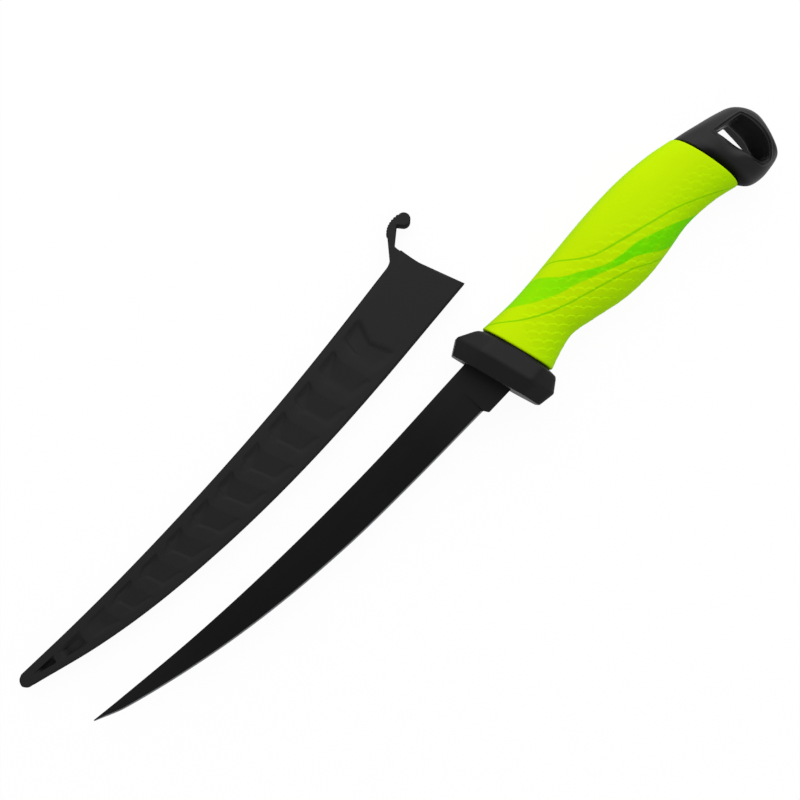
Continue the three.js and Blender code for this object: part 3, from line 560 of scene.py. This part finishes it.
# %% [markdown]
# Sheath. Two moulded half shells meet on the middle plane, with a pocket for the blade between them. Each face
# has a plain panel by the mouth, a rim along the spine side, and thirteen shallow scallops that shrink towards
# the nose. A scallop's floor falls slowly from its cross line, rises part of the way at a bar and climbs on to
# the next line, with a small pocket by the rim; the last scallops are plain hollows. The mesh's rows follow
# the cross lines exactly, so the edges stay crisp without a fine grid.

# %% Sheath outline
SHEATH_REACH, NOSE_RADIUS, SHEATH_HALF, MOUTH_AT, MOUTH_HOLLOW = 246.9, 3.1, 4.3, 8.95, 1.25
SHEATH_TURN, SHEATH_ASIDE = math.radians(4.9), (18.4, 47.27)
SHEATH_AT = np.array([0.0846, 0.2377, 0.3677, 0.4976, 0.6265, 0.7565, 0.8703, 0.9831]) * SHEATH_REACH
sheath_spine = smooth_curve(SHEATH_AT, [16.55, 16.1, 16.4, 17.7, 19.75, 22.55, 25.75, 29.6])
sheath_edge = smooth_curve(SHEATH_AT, [-11.9, -11.0, -9.4, -6.5, -2.05, 4.3, 12.25, 22.7])


def sheath_sides(reach):
    """Spine side and edge side of the sheath at a reach, drawn together into a round nose."""
    straight = np.minimum(reach, SHEATH_REACH - NOSE_RADIUS)
    spine, edge = sheath_spine(straight), sheath_edge(straight)
    left = np.clip(SHEATH_REACH - reach, 0, NOSE_RADIUS)
    round_nose = np.sqrt(NOSE_RADIUS ** 2 - (NOSE_RADIUS - left) ** 2)
    half = np.where(left < NOSE_RADIUS, np.minimum((spine - edge) / 2, round_nose), (spine - edge) / 2)
    return (spine + edge) / 2 + half, (spine + edge) / 2 - half


def mouth_reach(y):
    """Reach of the mouth: slanted with the guard and a little hollow."""
    return MOUTH_AT + GUARD_SLANT * y - MOUTH_HOLLOW * (y / 14) ** 2


def to_table(points):
    """From the sheath's own frame, where it would sit on the blade, to where it lies beside the knife."""
    c, s = math.cos(SHEATH_TURN), math.sin(SHEATH_TURN)
    x, y, z = points[..., 0], points[..., 1], points[..., 2]
    return np.stack([c * x - s * y + SHEATH_ASIDE[0], s * x + c * y + SHEATH_ASIDE[1], z + SHEATH_HALF], -1)


# %% Cross lines on the sheath's face
RIM_WIDTH, EDGE_BORDER, EDGE_ROUND, SCALLOP_DEPTH = 3.3, 3.4, 0.7, 0.95
SCALLOP_AT = np.array([43.0, 59.7, 75.8, 91.7, 108.3, 124.0, 139.3, 155.0, 169.5, 184.5, 199.8, 213.8, 228.3,
                       240.2])
LINE_END = [1.5, 0.5, -0.3, -0.4, -1.3, -2.0, -1.8, -1.5, -0.5, 0.3, 0.5, 2.4, 2.0, 0.0]
CELL_SHARES = np.array([0, 0.015, 0.03, 0.045, 0.06, 0.09, 0.13, 0.18, 0.24, 0.3, 0.36, 0.42, 0.48, 0.52, 0.545,
                        0.56, 0.575, 0.59, 0.605, 0.62, 0.64, 0.67, 0.7, 0.73, 0.8, 0.88, 0.95])
# One value for each scallop, and a last one for the rows outside them
CELL_DEPTH = np.array([1.15, 1, 1, 1, 1, 1, 1, 1, 1, 1, 1, 1.45, 1.7, 0])


def scallop_line(i, q):
    """Reach of the i-th step line; q runs from the rim (0) to the plain border (1)."""
    if i == 0:
        return SCALLOP_AT[0] + np.interp(q, [0, 0.49, 1], [0, 5.0, LINE_END[0]])
    spine, edge = sheath_sides(SCALLOP_AT[i])
    squeeze = min(1.0, float(spine - edge) / 20)
    bow = smooth_curve([0, 0.22, 0.6, 1], [0, 1.8 * squeeze, 0.5 * LINE_END[i] + 1.0 * squeeze, LINE_END[i]])
    return SCALLOP_AT[i] + bow(np.clip(q, 0, 1))


def depth_along(share, q, cell):
    """Depth along one scallop. On the middle lanes the floor falls evenly from the cross line, rises part of the
    way at the bar and climbs evenly on to flush. By the rim and by the border it drops at once, so that both ends
    of a cross line are small pockets; by the rim a fine groove runs down from the rise."""
    middle = smoothstep(0.06, 0.35, q) * smoothstep(0.95, 0.8, q) * (1 - 0.8 * smoothstep(9, 11, cell))
    fall = np.where(cell < 1, 0.12, lerp(0.06, 0.55, middle))
    late = np.clip(cell / 3, 0, 1)
    line = np.interp(cell, [9, 10, 11], [0.08, 0.4, 0.12])
    bar_at = np.interp(cell, [9, 10, 11], [0.585, 0.6, 0.68])
    width = lerp(0.4, np.interp(q, [0.06, 0.16, 0.24, 0.36, 0.8, 0.95], [0.14, 0.5, 0.5, 0, 0, 0.4]), late)
    width = np.maximum(width, line)
    rise = np.clip((share - bar_at) / width + 0.5, 0, 1)
    groove_end = np.where(cell < 1, 0.5, 0.25)
    groove = 0.25 * np.exp(-((share - 0.6) / 0.03) ** 2) * smoothstep(groove_end, groove_end - 0.2, q)
    return lerp(np.clip(share / fall, 0, 1), 0.55 * middle * (1 - share) / 0.4, rise) + groove


def depth_across(q, cell):
    """Depth from rim to border: deepest just past the rim and shallow on the middle lanes; the last scallops
    slope down to the border instead."""
    main = np.interp(q, [0, 0.06, 0.12, 0.25, 0.45, 0.8, 0.9, 1.0], [0, 0.55, 0.85, 0.75, 0.5, 0.45, 0.42, 0])
    last = np.interp(q, [0, 0.4, 0.8, 1.0], [0, 0.9, 1.1, 0])
    return lerp(main, last, smoothstep(9, 11, cell))


# %% Sheath half shells
# Lanes from the spine side: the rim down to 0, the scallops' face to 1, the plain border to 2
lane = np.concatenate([[-1, -0.98, -0.9, -0.8], np.linspace(-0.6, 0, 4),
                       [0.015, 0.03, 0.05, 0.07, 0.095], np.linspace(0.12, 0.9, 26), [0.935, 0.97, 0.985],
                       np.linspace(1, 1.6, 4), [1.8, 1.9, 1.98, 2]])
PANEL_ROWS, NOSE_ROWS, BY_MOUTH, FULL_WIDTH, SEAM_IN, SEAM_UP = 24, 16, 8.6, 7.7, 0.18, 0.2
ROUND_SHARE = 0.2
ROUND_FROM = 1 - ROUND_SHARE
POCKET_END, HEEL_ROOM_END, POCKET_ROOM, POCKET_HALF, SLIT_HALF = 222.5, 22.3, 1.5, 2.4, 0.01


def sheath_rows():
    """For every row: reach at each lane, share of its scallop and the scallop's number, -1 for none."""
    q = np.clip(lane, 0, 1)
    spine, edge = sheath_sides(BY_MOUTH)
    mouth = mouth_reach(lerp(spine, edge, np.interp(lane, [-1, 0, 1, 2], [0, 0.115, 0.88, 1])))
    lines = [scallop_line(i, q) for i in range(len(SCALLOP_AT))]
    reach = [lerp(mouth, lines[0], t) for t in np.linspace(0, 1, PANEL_ROWS, endpoint=False)]
    share, cell = [0.0] * PANEL_ROWS, [-1] * PANEL_ROWS
    for i in range(len(lines) - 1):
        reach += [lerp(lines[i], lines[i + 1], t) for t in CELL_SHARES]
        share += list(CELL_SHARES)
        cell += [i] * len(CELL_SHARES)
    nose = np.sin(np.linspace(0, np.pi / 2, NOSE_ROWS))
    reach += [lerp(lines[-1], SHEATH_REACH - 0.05, t) for t in nose]
    share, cell = share + [0.0] * NOSE_ROWS, cell + [-1] * NOSE_ROWS
    return np.array(reach), np.array(share)[:, None], np.array(cell)[:, None]


def pocket_loop(reach):
    """Points round the pocket for every row, under the face's lanes: the blade's outline with room all round, and
    past the tip a mere slit in the middle."""
    roof = np.flatnonzero((lane >= 0) & (lane <= 1))[::-1]
    reach = reach[:, np.concatenate([roof[:1], roof, roof[-1:]])]
    held = reach < POCKET_END
    lowest = np.where(reach < HEEL_ROOM_END, RICASSO_BOTTOM, edge_of(reach))
    blade_spine, blade_edge = spine_of(reach), np.minimum(lowest, spine_of(reach))
    spine, edge = sheath_sides(reach)
    high = np.where(held, blade_spine + POCKET_ROOM, lerp(edge, spine, 0.7))
    low = np.where(held, blade_edge - POCKET_ROOM, lerp(edge, spine, 0.3))
    y = lerp(low, high, np.pad(np.linspace(0, 1, len(roof)), 1, mode="edge"))
    z = np.where(held, POCKET_HALF, SLIT_HALF) * np.pad(np.ones(len(roof)), 1)
    return np.stack([-reach, y, z], -1)


def sheath_half(side):
    """Loop round a half shell's wall for every row: outer skin from spine to edge, then the pocket. Comes with how
    much painted shade each point takes."""
    reach, share, cell = sheath_rows()
    spine, edge = sheath_sides(reach)
    width = spine - edge
    squeeze = np.minimum(1, width / FULL_WIDTH)
    rim, border, edge_round = RIM_WIDTH * squeeze, EDGE_BORDER * squeeze, np.minimum(EDGE_ROUND, 0.3 * width)
    roll_in = np.where(lane < 0, -lane, np.where(lane > 1, lane - 1, 0))
    turn_in = np.clip((1 - roll_in) / ROUND_SHARE, 0, 1) * np.pi / 2
    flat_share = np.clip((ROUND_FROM - roll_in) / ROUND_FROM, 0, 1)
    inward = lerp(edge_round, np.where(lane < 0.5, rim, border), flat_share)
    from_side = np.where(roll_in > ROUND_FROM, edge_round * (1 - np.cos(turn_in)), inward)
    inner = width - rim - border
    q = np.clip(lane, 0, 1)
    across = np.where(lane < 0, from_side, np.where(lane > 1, width - from_side, rim + q * inner))
    depth = SCALLOP_DEPTH * CELL_DEPTH[cell] * squeeze * depth_along(share, q, cell) * depth_across(q, cell)
    crown = np.where(lane < 0, 0.25 * np.minimum(roll_in, ROUND_FROM) ** 2, 0)
    z = SHEATH_HALF - crown - np.where(roll_in > ROUND_FROM, edge_round * (1 - np.sin(turn_in)), 0)
    z = z - np.where(cell >= 0, depth, 0)
    skin = np.stack([-reach, spine - across, z], -1)
    x, y = -reach[:, [0, -1]], np.stack([spine[:, 0], edge[:, -1]], 1)
    seam = np.stack([x, y + [-SEAM_IN, SEAM_IN], 0 * x], -1)
    wall = np.stack([x, y, 0 * x + SEAM_UP], -1)
    pocket = pocket_loop(reach)
    loop = np.concatenate([seam[:, :1], wall[:, :1], skin, wall[:, 1:], seam[:, 1:], pocket], 1)
    loop[..., 2] *= side
    # Painted shade: a flat dark grey without gloss in the deep parts of the last scallop and the far corners of
    # the one before, on the side walls, and on the seam and the pocket.
    far_corner = np.maximum(smoothstep(0.4, 0.1, q), smoothstep(0.4, 0.6, share))
    last = len(SCALLOP_AT) - 2
    scallop_shade = np.where(cell == last, 0.4, np.where(cell == last - 1, 0.22 * far_corner, 0.0))
    wall_shade = PAINTED_WALL_SHADE * smoothstep(0.86, 0.96, roll_in)
    dull = np.maximum(np.clip(depth / 0.5, 0, 1) * scallop_shade, wall_shade)
    dull = np.pad(dull, [(0, 0), (2, 2 + pocket.shape[1])], constant_values=PAINTED_WALL_SHADE)
    return to_table(loop), dull


for name, node, side in (("sheath_upper", "sheath_front", 1), ("sheath_lower", "sheath_back", -1)):
    points, dull = sheath_half(side)
    dress(make_mesh(name, points, capped_faces(points), dull=dull), "sheath", "sheath_plastic", node)

# %% [markdown]
# Latch. A springy hook grows out of the spine side at the mouth, with a round head and a serrated thumb edge.
# It is moulded in one with the sheath, so the mesh starts inside the sheath's side.

# %% Latch outline and mesh
LATCH_HEAD, HEAD_RADIUS, LATCH_HALF = np.array([-0.28, 23.6]), 2.78, 4.29
OUTER_ROOT, INNER_ROOT = np.array([-23.5, 14.4]), np.array([-11.3, 14.4])
OUTER_FOOT, INNER_FOOT = np.array([-17.2, 17.5]), np.array([-11.4, 18.0])
ARM, BEND, CROWN = LATCH_HEAD + [-9.37, 1.2], LATCH_HEAD + [-6.0, 4.5], LATCH_HEAD + [0, HEAD_RADIUS]
THROAT, ELBOW = LATCH_HEAD + [-3.75, 0.7], LATCH_HEAD + [-10.3, -3.5]
TEETH, TOOTH_HEIGHT, THUMB_STEPS, LATCH_ROUND = 8, 0.38, 160, 0.5


def straight(a, b, steps):
    """Straight run from a to b, without its last point."""
    return lerp(a, b, np.linspace(0, 1, steps, endpoint=False)[:, None])


def latch_outline():
    """Closed path: root, straight arm, thumb edge with eight ridges, round head, throat and elbow."""
    foot = bezier([-21.5, 16.4], [-18.4, 16.6], OUTER_FOOT, 10)
    arm = straight(OUTER_FOOT, ARM, 16)
    thumb = bezier(ARM, BEND, CROWN, THUMB_STEPS)
    run = np.linspace(0, 1, THUMB_STEPS, endpoint=False)
    tangent = np.gradient(thumb, axis=0)
    outward = unit(np.stack([-tangent[:, 1], tangent[:, 0]], -1))
    thumb = thumb + TOOTH_HEIGHT * np.abs(np.sin(run * np.pi * TEETH))[:, None] ** 0.7 * outward
    swing = np.linspace(np.pi / 2, math.radians(-141), 60)[:, None]
    head = LATCH_HEAD + HEAD_RADIUS * np.concatenate([np.cos(swing), np.sin(swing)], 1)
    neck = bezier(head[-1], lerp(head[-1], THROAT, 0.7), THROAT, 12)[1:]
    back = straight(THROAT, ELBOW, 16)
    elbow = bezier(ELBOW, [INNER_FOOT[0] - 0.2, ELBOW[1] - 0.3], INNER_FOOT, 16)
    return np.concatenate([OUTER_ROOT[None], foot, arm, thumb, head, neck, back, elbow, INNER_FOOT[None],
                           INNER_ROOT[None]])


hook = latch_outline()
tangent = np.roll(hook, -1, 0) - np.roll(hook, 1, 0)
inward = unit(np.stack([tangent[:, 1], -tangent[:, 0]], -1))
rounding = np.linspace(0, np.pi / 2, 5)
sines, cosines = LATCH_ROUND * np.sin(rounding), LATCH_ROUND * np.cos(rounding)
level = np.concatenate([-LATCH_HALF + LATCH_ROUND - cosines, LATCH_HALF - LATCH_ROUND + sines])
inset = np.concatenate([LATCH_ROUND - sines, LATCH_ROUND - cosines])
rings = hook + inset[:, None, None] * inward
points = to_table(np.concatenate([rings, np.broadcast_to(level[:, None, None], rings.shape[:2] + (1,))], -1))
# Painted shade: the latch's side walls take a flat dark grey without gloss.
wall = PAINTED_WALL_SHADE * np.array([0, 0, 0, 1, 1, 1, 1, 0, 0, 0])[:, None]
latch = make_mesh("latch_hook", points, capped_faces(points), dull=wall * np.ones(points.shape[1]))
dress(latch, None, "sheath_plastic", "sheath_latch")
root = to_table(np.array([[-14.0, 17.6, 0.0], [-9.0, 23.0, 0.0]])) * MM
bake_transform(latch)

# %% [markdown]
# Finishes. The maths of a material reads like the maths of a surface when each socket is wrapped in a small
# class whose operators add the nodes. What varies over the surface feeds colour, roughness, metal, a bump or
# the share of a flat dark shader that paints shade; what is the same all over is set on the shader's own socket.

# %% Shader maths
class Wire:
    """A node socket with arithmetic: numbers through Math nodes, colours through Mix nodes."""

    def __init__(self, tree, socket):
        self.tree, self.socket = tree, socket

    def node(self, kind, settings=None, inputs=None, output=0):
        """Any node: its settings first, then values or wires into its inputs; returns one output."""
        node = self.tree.nodes.new(kind)
        for key, value in (settings or {}).items():
            setattr(node, key, value)
        for key, value in (inputs or {}).items():
            if isinstance(value, Wire):
                self.tree.links.new(value.socket, node.inputs[key])
            else:
                node.inputs[key].default_value = value
        return Wire(self.tree, node.outputs[output])

    def maths(self, operation, *values):
        return self.node("ShaderNodeMath", {"operation": operation}, dict(enumerate(values)))

    def __add__(self, other):
        return self.maths("ADD", self, other)

    def __sub__(self, other):
        return self.maths("SUBTRACT", self, other)

    def __rsub__(self, other):
        return self.maths("SUBTRACT", other, self)

    def __mul__(self, other):
        return self.maths("MULTIPLY", self, other)

    def __abs__(self):
        return self.maths("ABSOLUTE", self)

    __radd__, __rmul__ = __add__, __mul__

    def ramp(self, low, high):
        """0 below low, 1 above high, eased between them."""
        return self.node("ShaderNodeMapRange", {"interpolation_type": "SMOOTHSTEP"},
                         {"Value": self, "From Min": low, "From Max": high})

    def mix(self, a, b):
        """Colour a where this is 0, b where it is 1."""
        return self.node("ShaderNodeMix", {"data_type": "RGBA"}, {0: self, 6: a, 7: b}, 2)


class Finish:
    """A material's tree: the shader, its object coordinates and the noises used on them."""

    def __init__(self, name, **constants):
        self.material = bpy.data.materials.new(name)
        self.material.use_nodes = True
        self.tree = self.material.node_tree
        self.shader = self.tree.nodes["Principled BSDF"]
        for key, value in constants.items():
            self.shader.inputs[key.replace("_", " ")].default_value = value
        self.start = Wire(self.tree, None)
        self.place = self.start.node("ShaderNodeTexCoord", output="Object")

    def noise(self, size_mm, detail, roughness, stretch=None):
        """Noise whose grains are about size_mm across, from 0 to 1, stretched if asked."""
        where = self.place
        if stretch:
            where = self.start.node("ShaderNodeMapping", None, {"Vector": where, "Scale": stretch})
        return self.start.node("ShaderNodeTexNoise", None, {
            "Vector": where, "Scale": 1000.0 / size_mm, "Detail": detail, "Roughness": roughness})

    def along_x(self):
        return self.start.node("ShaderNodeSeparateXYZ", None, {"Vector": self.place})

    def field(self, name):
        return self.start.node("ShaderNodeAttribute", {"attribute_name": name}, output="Fac")

    def feed(self, name, wire):
        self.tree.links.new(wire.socket, self.shader.inputs[name])

    def dull(self, amount, colour):
        """Painted shade: towards a plain dark shader without gloss, by an amount from 0 to 1."""
        plain = self.start.node("ShaderNodeBsdfDiffuse", None, {"Color": colour})
        glossy = Wire(self.tree, self.shader.outputs[0])
        mixed = self.start.node("ShaderNodeMixShader", None, {0: amount, 1: glossy, 2: plain})
        self.tree.links.new(mixed.socket, self.tree.nodes["Material Output"].inputs["Surface"])

    def bump(self, height, depth_mm):
        self.feed("Normal", self.start.node("ShaderNodeBump", None, {
            "Height": height, "Distance": depth_mm * MM, "Strength": 1.0}))


def tone(red, green, blue):
    """Linear colour from screen values of 0 to 255."""
    screen = np.array([red, green, blue]) / 255
    return (*np.where(screen <= 0.04045, screen / 12.92, ((screen + 0.055) / 1.055) ** 2.4).tolist(), 1.0)


# %% [markdown]
# Coated steel: a matte black layer over a fine ground finish, with the grind's faint lines running across the
# blade, a lighter grey on the ricasso that is painted light lifting the guard's shadow, a greyer tone towards the
# tip, and a bare bevel along the edge where sharpening took the coating off.

# %% Coated steel
coating = Finish("coated_steel", Specular_IOR_Level=0.13)
bare = 1.0 - coating.field("above_edge").ramp(-0.03, 0.03)
grain = coating.noise(0.5, 3, 0.6, (12.0, 1.0, 1.0))
cloud = coating.noise(14.0, 3, 0.55)
# Painted light: a lighter tone on the ricasso by the guard, making up for the shadow the guard throws there.
guard_shadow_lift = coating.along_x().ramp(-50 * MM, -12 * MM)
coat = guard_shadow_lift.mix(cloud.mix(tone(12, 12, 13), tone(17, 17, 18)), tone(27, 27, 28))
by_tip = 1.0 - coating.along_x().ramp(-215 * MM, -150 * MM)
coat = by_tip.mix(coat, tone(26, 26, 27))
coating.feed("Base Color", bare.mix(coat, tone(150, 152, 156)))
coating.feed("Metallic", bare * 0.9)
coating.feed("Roughness", 0.46 + 0.08 * cloud + 0.06 * grain - 0.12 * bare)
coating.bump(grain, 0.006)
blade.data.materials.append(coating.material)

# %% [markdown]
# Black plastics: guard and cap come out of finely eroded moulds, the cap a shade lighter, and the sheath out
# of a slightly smoother one. All show a fine leathery grain and a slow drift of gloss from hands and cloth.
# The side walls of sheath and latch, the window's lower wall, the hollow behind the sleeve and the last deep
# scallops take painted shade: a flat dark grey without gloss that stands in for the shade on them.


# %% Black plastics
def recoat(material, *nodes):
    """Hidden CAD pieces keep their solids and take one of these finishes."""
    for node in nodes:
        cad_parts[node].data.materials.clear()
        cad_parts[node].data.materials.append(material)


def moulded(name, dark, light, roughness, grain_mm, grain_depth, specular):
    """Moulded plastic: grain as bump, a slow drift in tone and gloss, and painted shade, a flat dark grey without
    gloss, where the mesh asks for it.
    """
    finish = Finish(name, Specular_IOR_Level=specular)
    grain, drift = finish.noise(grain_mm, 4, 0.65), finish.noise(22.0, 3, 0.6)
    finish.feed("Base Color", drift.mix(dark, light))
    finish.feed("Roughness", roughness - 0.06 + 0.08 * drift + 0.08 * grain)
    finish.bump(grain, grain_depth)
    finish.dull(finish.field("dull"), tone(9, 9, 9))
    return finish.material


guard_finish = moulded("guard_plastic", tone(21, 21, 22), tone(26, 26, 27), 0.52, 0.35, 0.02, 0.23)
cap_finish = moulded("cap_plastic", tone(26, 26, 27), tone(31, 31, 32), 0.48, 0.35, 0.02, 0.32)
sheath_finish = moulded("sheath_plastic", tone(27, 27, 28), tone(32, 32, 33), 0.56, 0.3, 0.014, 0.24)
core_finish = moulded("core_plastic", tone(40, 40, 42), tone(48, 48, 50), 0.6, 0.5, 0.02, 0.4)
guard.data.materials.append(guard_finish)
cap.data.materials.append(cap_finish)
for piece in (bpy.data.objects["sheath_upper"], bpy.data.objects["sheath_lower"], latch):
    piece.data.materials.append(sheath_finish)
recoat(core_finish, "core_left", "core_right")

# %% [markdown]
# Pins: plain drawn steel with faint lines round them.

# %% Pin steel
pin_finish = Finish("pin_steel", Metallic=1.0)
drawn = pin_finish.noise(0.4, 3, 0.6, (1.0, 1.0, 0.1))
pin_finish.feed("Base Color", drawn.mix(tone(180, 182, 186), tone(205, 206, 210)))
pin_finish.feed("Roughness", 0.26 + 0.14 * drawn)
pin_finish.bump(drawn, 0.004)
recoat(pin_finish.material, "tang_pin_front", "tang_pin_rear")

# %% [markdown]
# Soft grip: bright yellow-green rubber, a little greener along the spine. On the belly it is greener and kept
# bright: painted light against the shade there. A green band with a streaky brushed tone sweeps from the spine
# down to the belly, between two fine dark green lines.

# %% Soft grip
grip = Finish("soft_grip", Specular_IOR_Level=0.03)
speck, drift = grip.noise(0.45, 3, 0.6), grip.noise(16.0, 3, 0.55)
belly = grip.field("belly_turn")
base = drift.mix(tone(210, 252, 0), tone(205, 248, 0))
# Painted light: the belly's tone is kept bright and greener to lift the shade that falls there.
base = belly.ramp(0.4, 0.85).mix(base, tone(187, 249, 0))
base = (1.0 - belly.ramp(0.02, 0.22)).mix(base, tone(191, 248, 0))
BAND_EDGE = 0.4
past_upper, past_lower = (grip.field(name).ramp(-BAND_EDGE, BAND_EDGE) for name in ("band_upper", "band_lower"))
inside_band = past_upper * (1.0 - past_lower)
streak = grip.noise(2.6, 4, 0.7, (0.25, 1.0, 1.0))
narrow = grip.field("along_grip").ramp(22.0, 48.0)
band_tone = narrow.mix(tone(155, 248, 0), tone(123, 241, 0))
band_tone = streak.ramp(0.45, 0.8).mix(band_tone, tone(167, 248, 0))
base = inside_band.mix(base, band_tone)
for line in ("line_upper", "line_lower"):
    on_line = 1.0 - abs(grip.field(line)).ramp(0.05, 0.65)
    base = on_line.mix(base, tone(150, 229, 0))
grip.feed("Base Color", base)
grip.feed("Roughness", 0.58 + 0.12 * speck)
grip.bump(speck, 0.012)
sleeve.data.materials.append(grip.material)

# %% [markdown]
# Stage. A white sweep under the object: what the camera and the gloss see of it is mostly plain white, as on a
# light table, with enough of the real floor left that a faint soft shadow shows.

# %% Floor
FLOOR_HALF, FLOOR_DROP, WHITE_GLOW, GLOW_SHARE = 20, 0.0001, 1.02, 0.93
corners = [(x * FLOOR_HALF, y * FLOOR_HALF, -FLOOR_DROP) for x, y in ((-1, -1), (1, -1), (1, 1), (-1, 1))]
floor_mesh = bpy.data.meshes.new("floor")
floor_mesh.from_pydata(corners, [], [(0, 1, 2, 3)])
floor = bpy.data.objects.new("floor", floor_mesh)
bpy.context.scene.collection.objects.link(floor)
paper = bpy.data.materials.new("floor")
paper.use_nodes = True
tree = paper.node_tree
sweep = tree.nodes["Principled BSDF"]
sweep.inputs["Base Color"].default_value = (0.92, 0.92, 0.92, 1)
sweep.inputs["Roughness"].default_value = 0.9
sweep.inputs["Specular IOR Level"].default_value = 0.1
start = Wire(tree, None)
camera_ray, glossy_ray, through_ray = (start.node("ShaderNodeLightPath", output=f"Is {kind} Ray")
                                       for kind in ("Camera", "Glossy", "Transmission"))
white_rays = camera_ray + glossy_ray + through_ray
seen = start.maths("MINIMUM", white_rays, 1.0)
glow = start.node("ShaderNodeEmission", None, {"Color": (1, 1, 1, 1), "Strength": WHITE_GLOW})
lit = Wire(tree, sweep.outputs[0])
blend = start.node("ShaderNodeMixShader", None, {0: seen * GLOW_SHARE, 1: lit, 2: glow})
tree.links.new(blend.socket, tree.nodes["Material Output"].inputs["Surface"])
floor_mesh.materials.append(paper)

# %% Light: a broad soft lamp from beyond the butt, and a pale room all round
world = bpy.data.worlds.new("room")
bpy.context.scene.world = world
world.use_nodes = True
room = world.node_tree.nodes["Background"]
room.inputs["Color"].default_value = (1, 1, 1, 1)
room.inputs["Strength"].default_value = 0.42


def soft_lamp(name, place, aim, size, watts):
    """A square lamp of a given side, turned to face a point."""
    lamp = bpy.data.lights.new(name, "AREA")
    lamp.shape, lamp.size, lamp.energy = "SQUARE", size, watts
    obj = bpy.data.objects.new(name, lamp)
    bpy.context.scene.collection.objects.link(obj)
    obj.location = place
    away = unit(np.subtract(place, aim))
    obj.rotation_euler = (math.acos(away[2]), 0, math.atan2(away[1], away[0]) + math.pi / 2)


soft_lamp("key", place=(0.95, 0.68, 1.3), aim=(-0.03, 0.02, 0.0), size=2.4, watts=23.4)

# %% Camera: straight above, turned so that the knife runs across the frame's diagonal
lens = bpy.data.cameras.new("camera")
lens.lens, lens.sensor_width, lens.clip_start = 45.0, 36.0, 0.01
camera = bpy.data.objects.new("camera", lens)
bpy.context.scene.collection.objects.link(camera)
camera.location = (-0.0386, 0.02093, 0.417)
camera.rotation_euler = (0, 0, math.radians(-46.5))
bpy.context.scene.camera = camera
bpy.context.scene.view_settings.view_transform = "Standard"
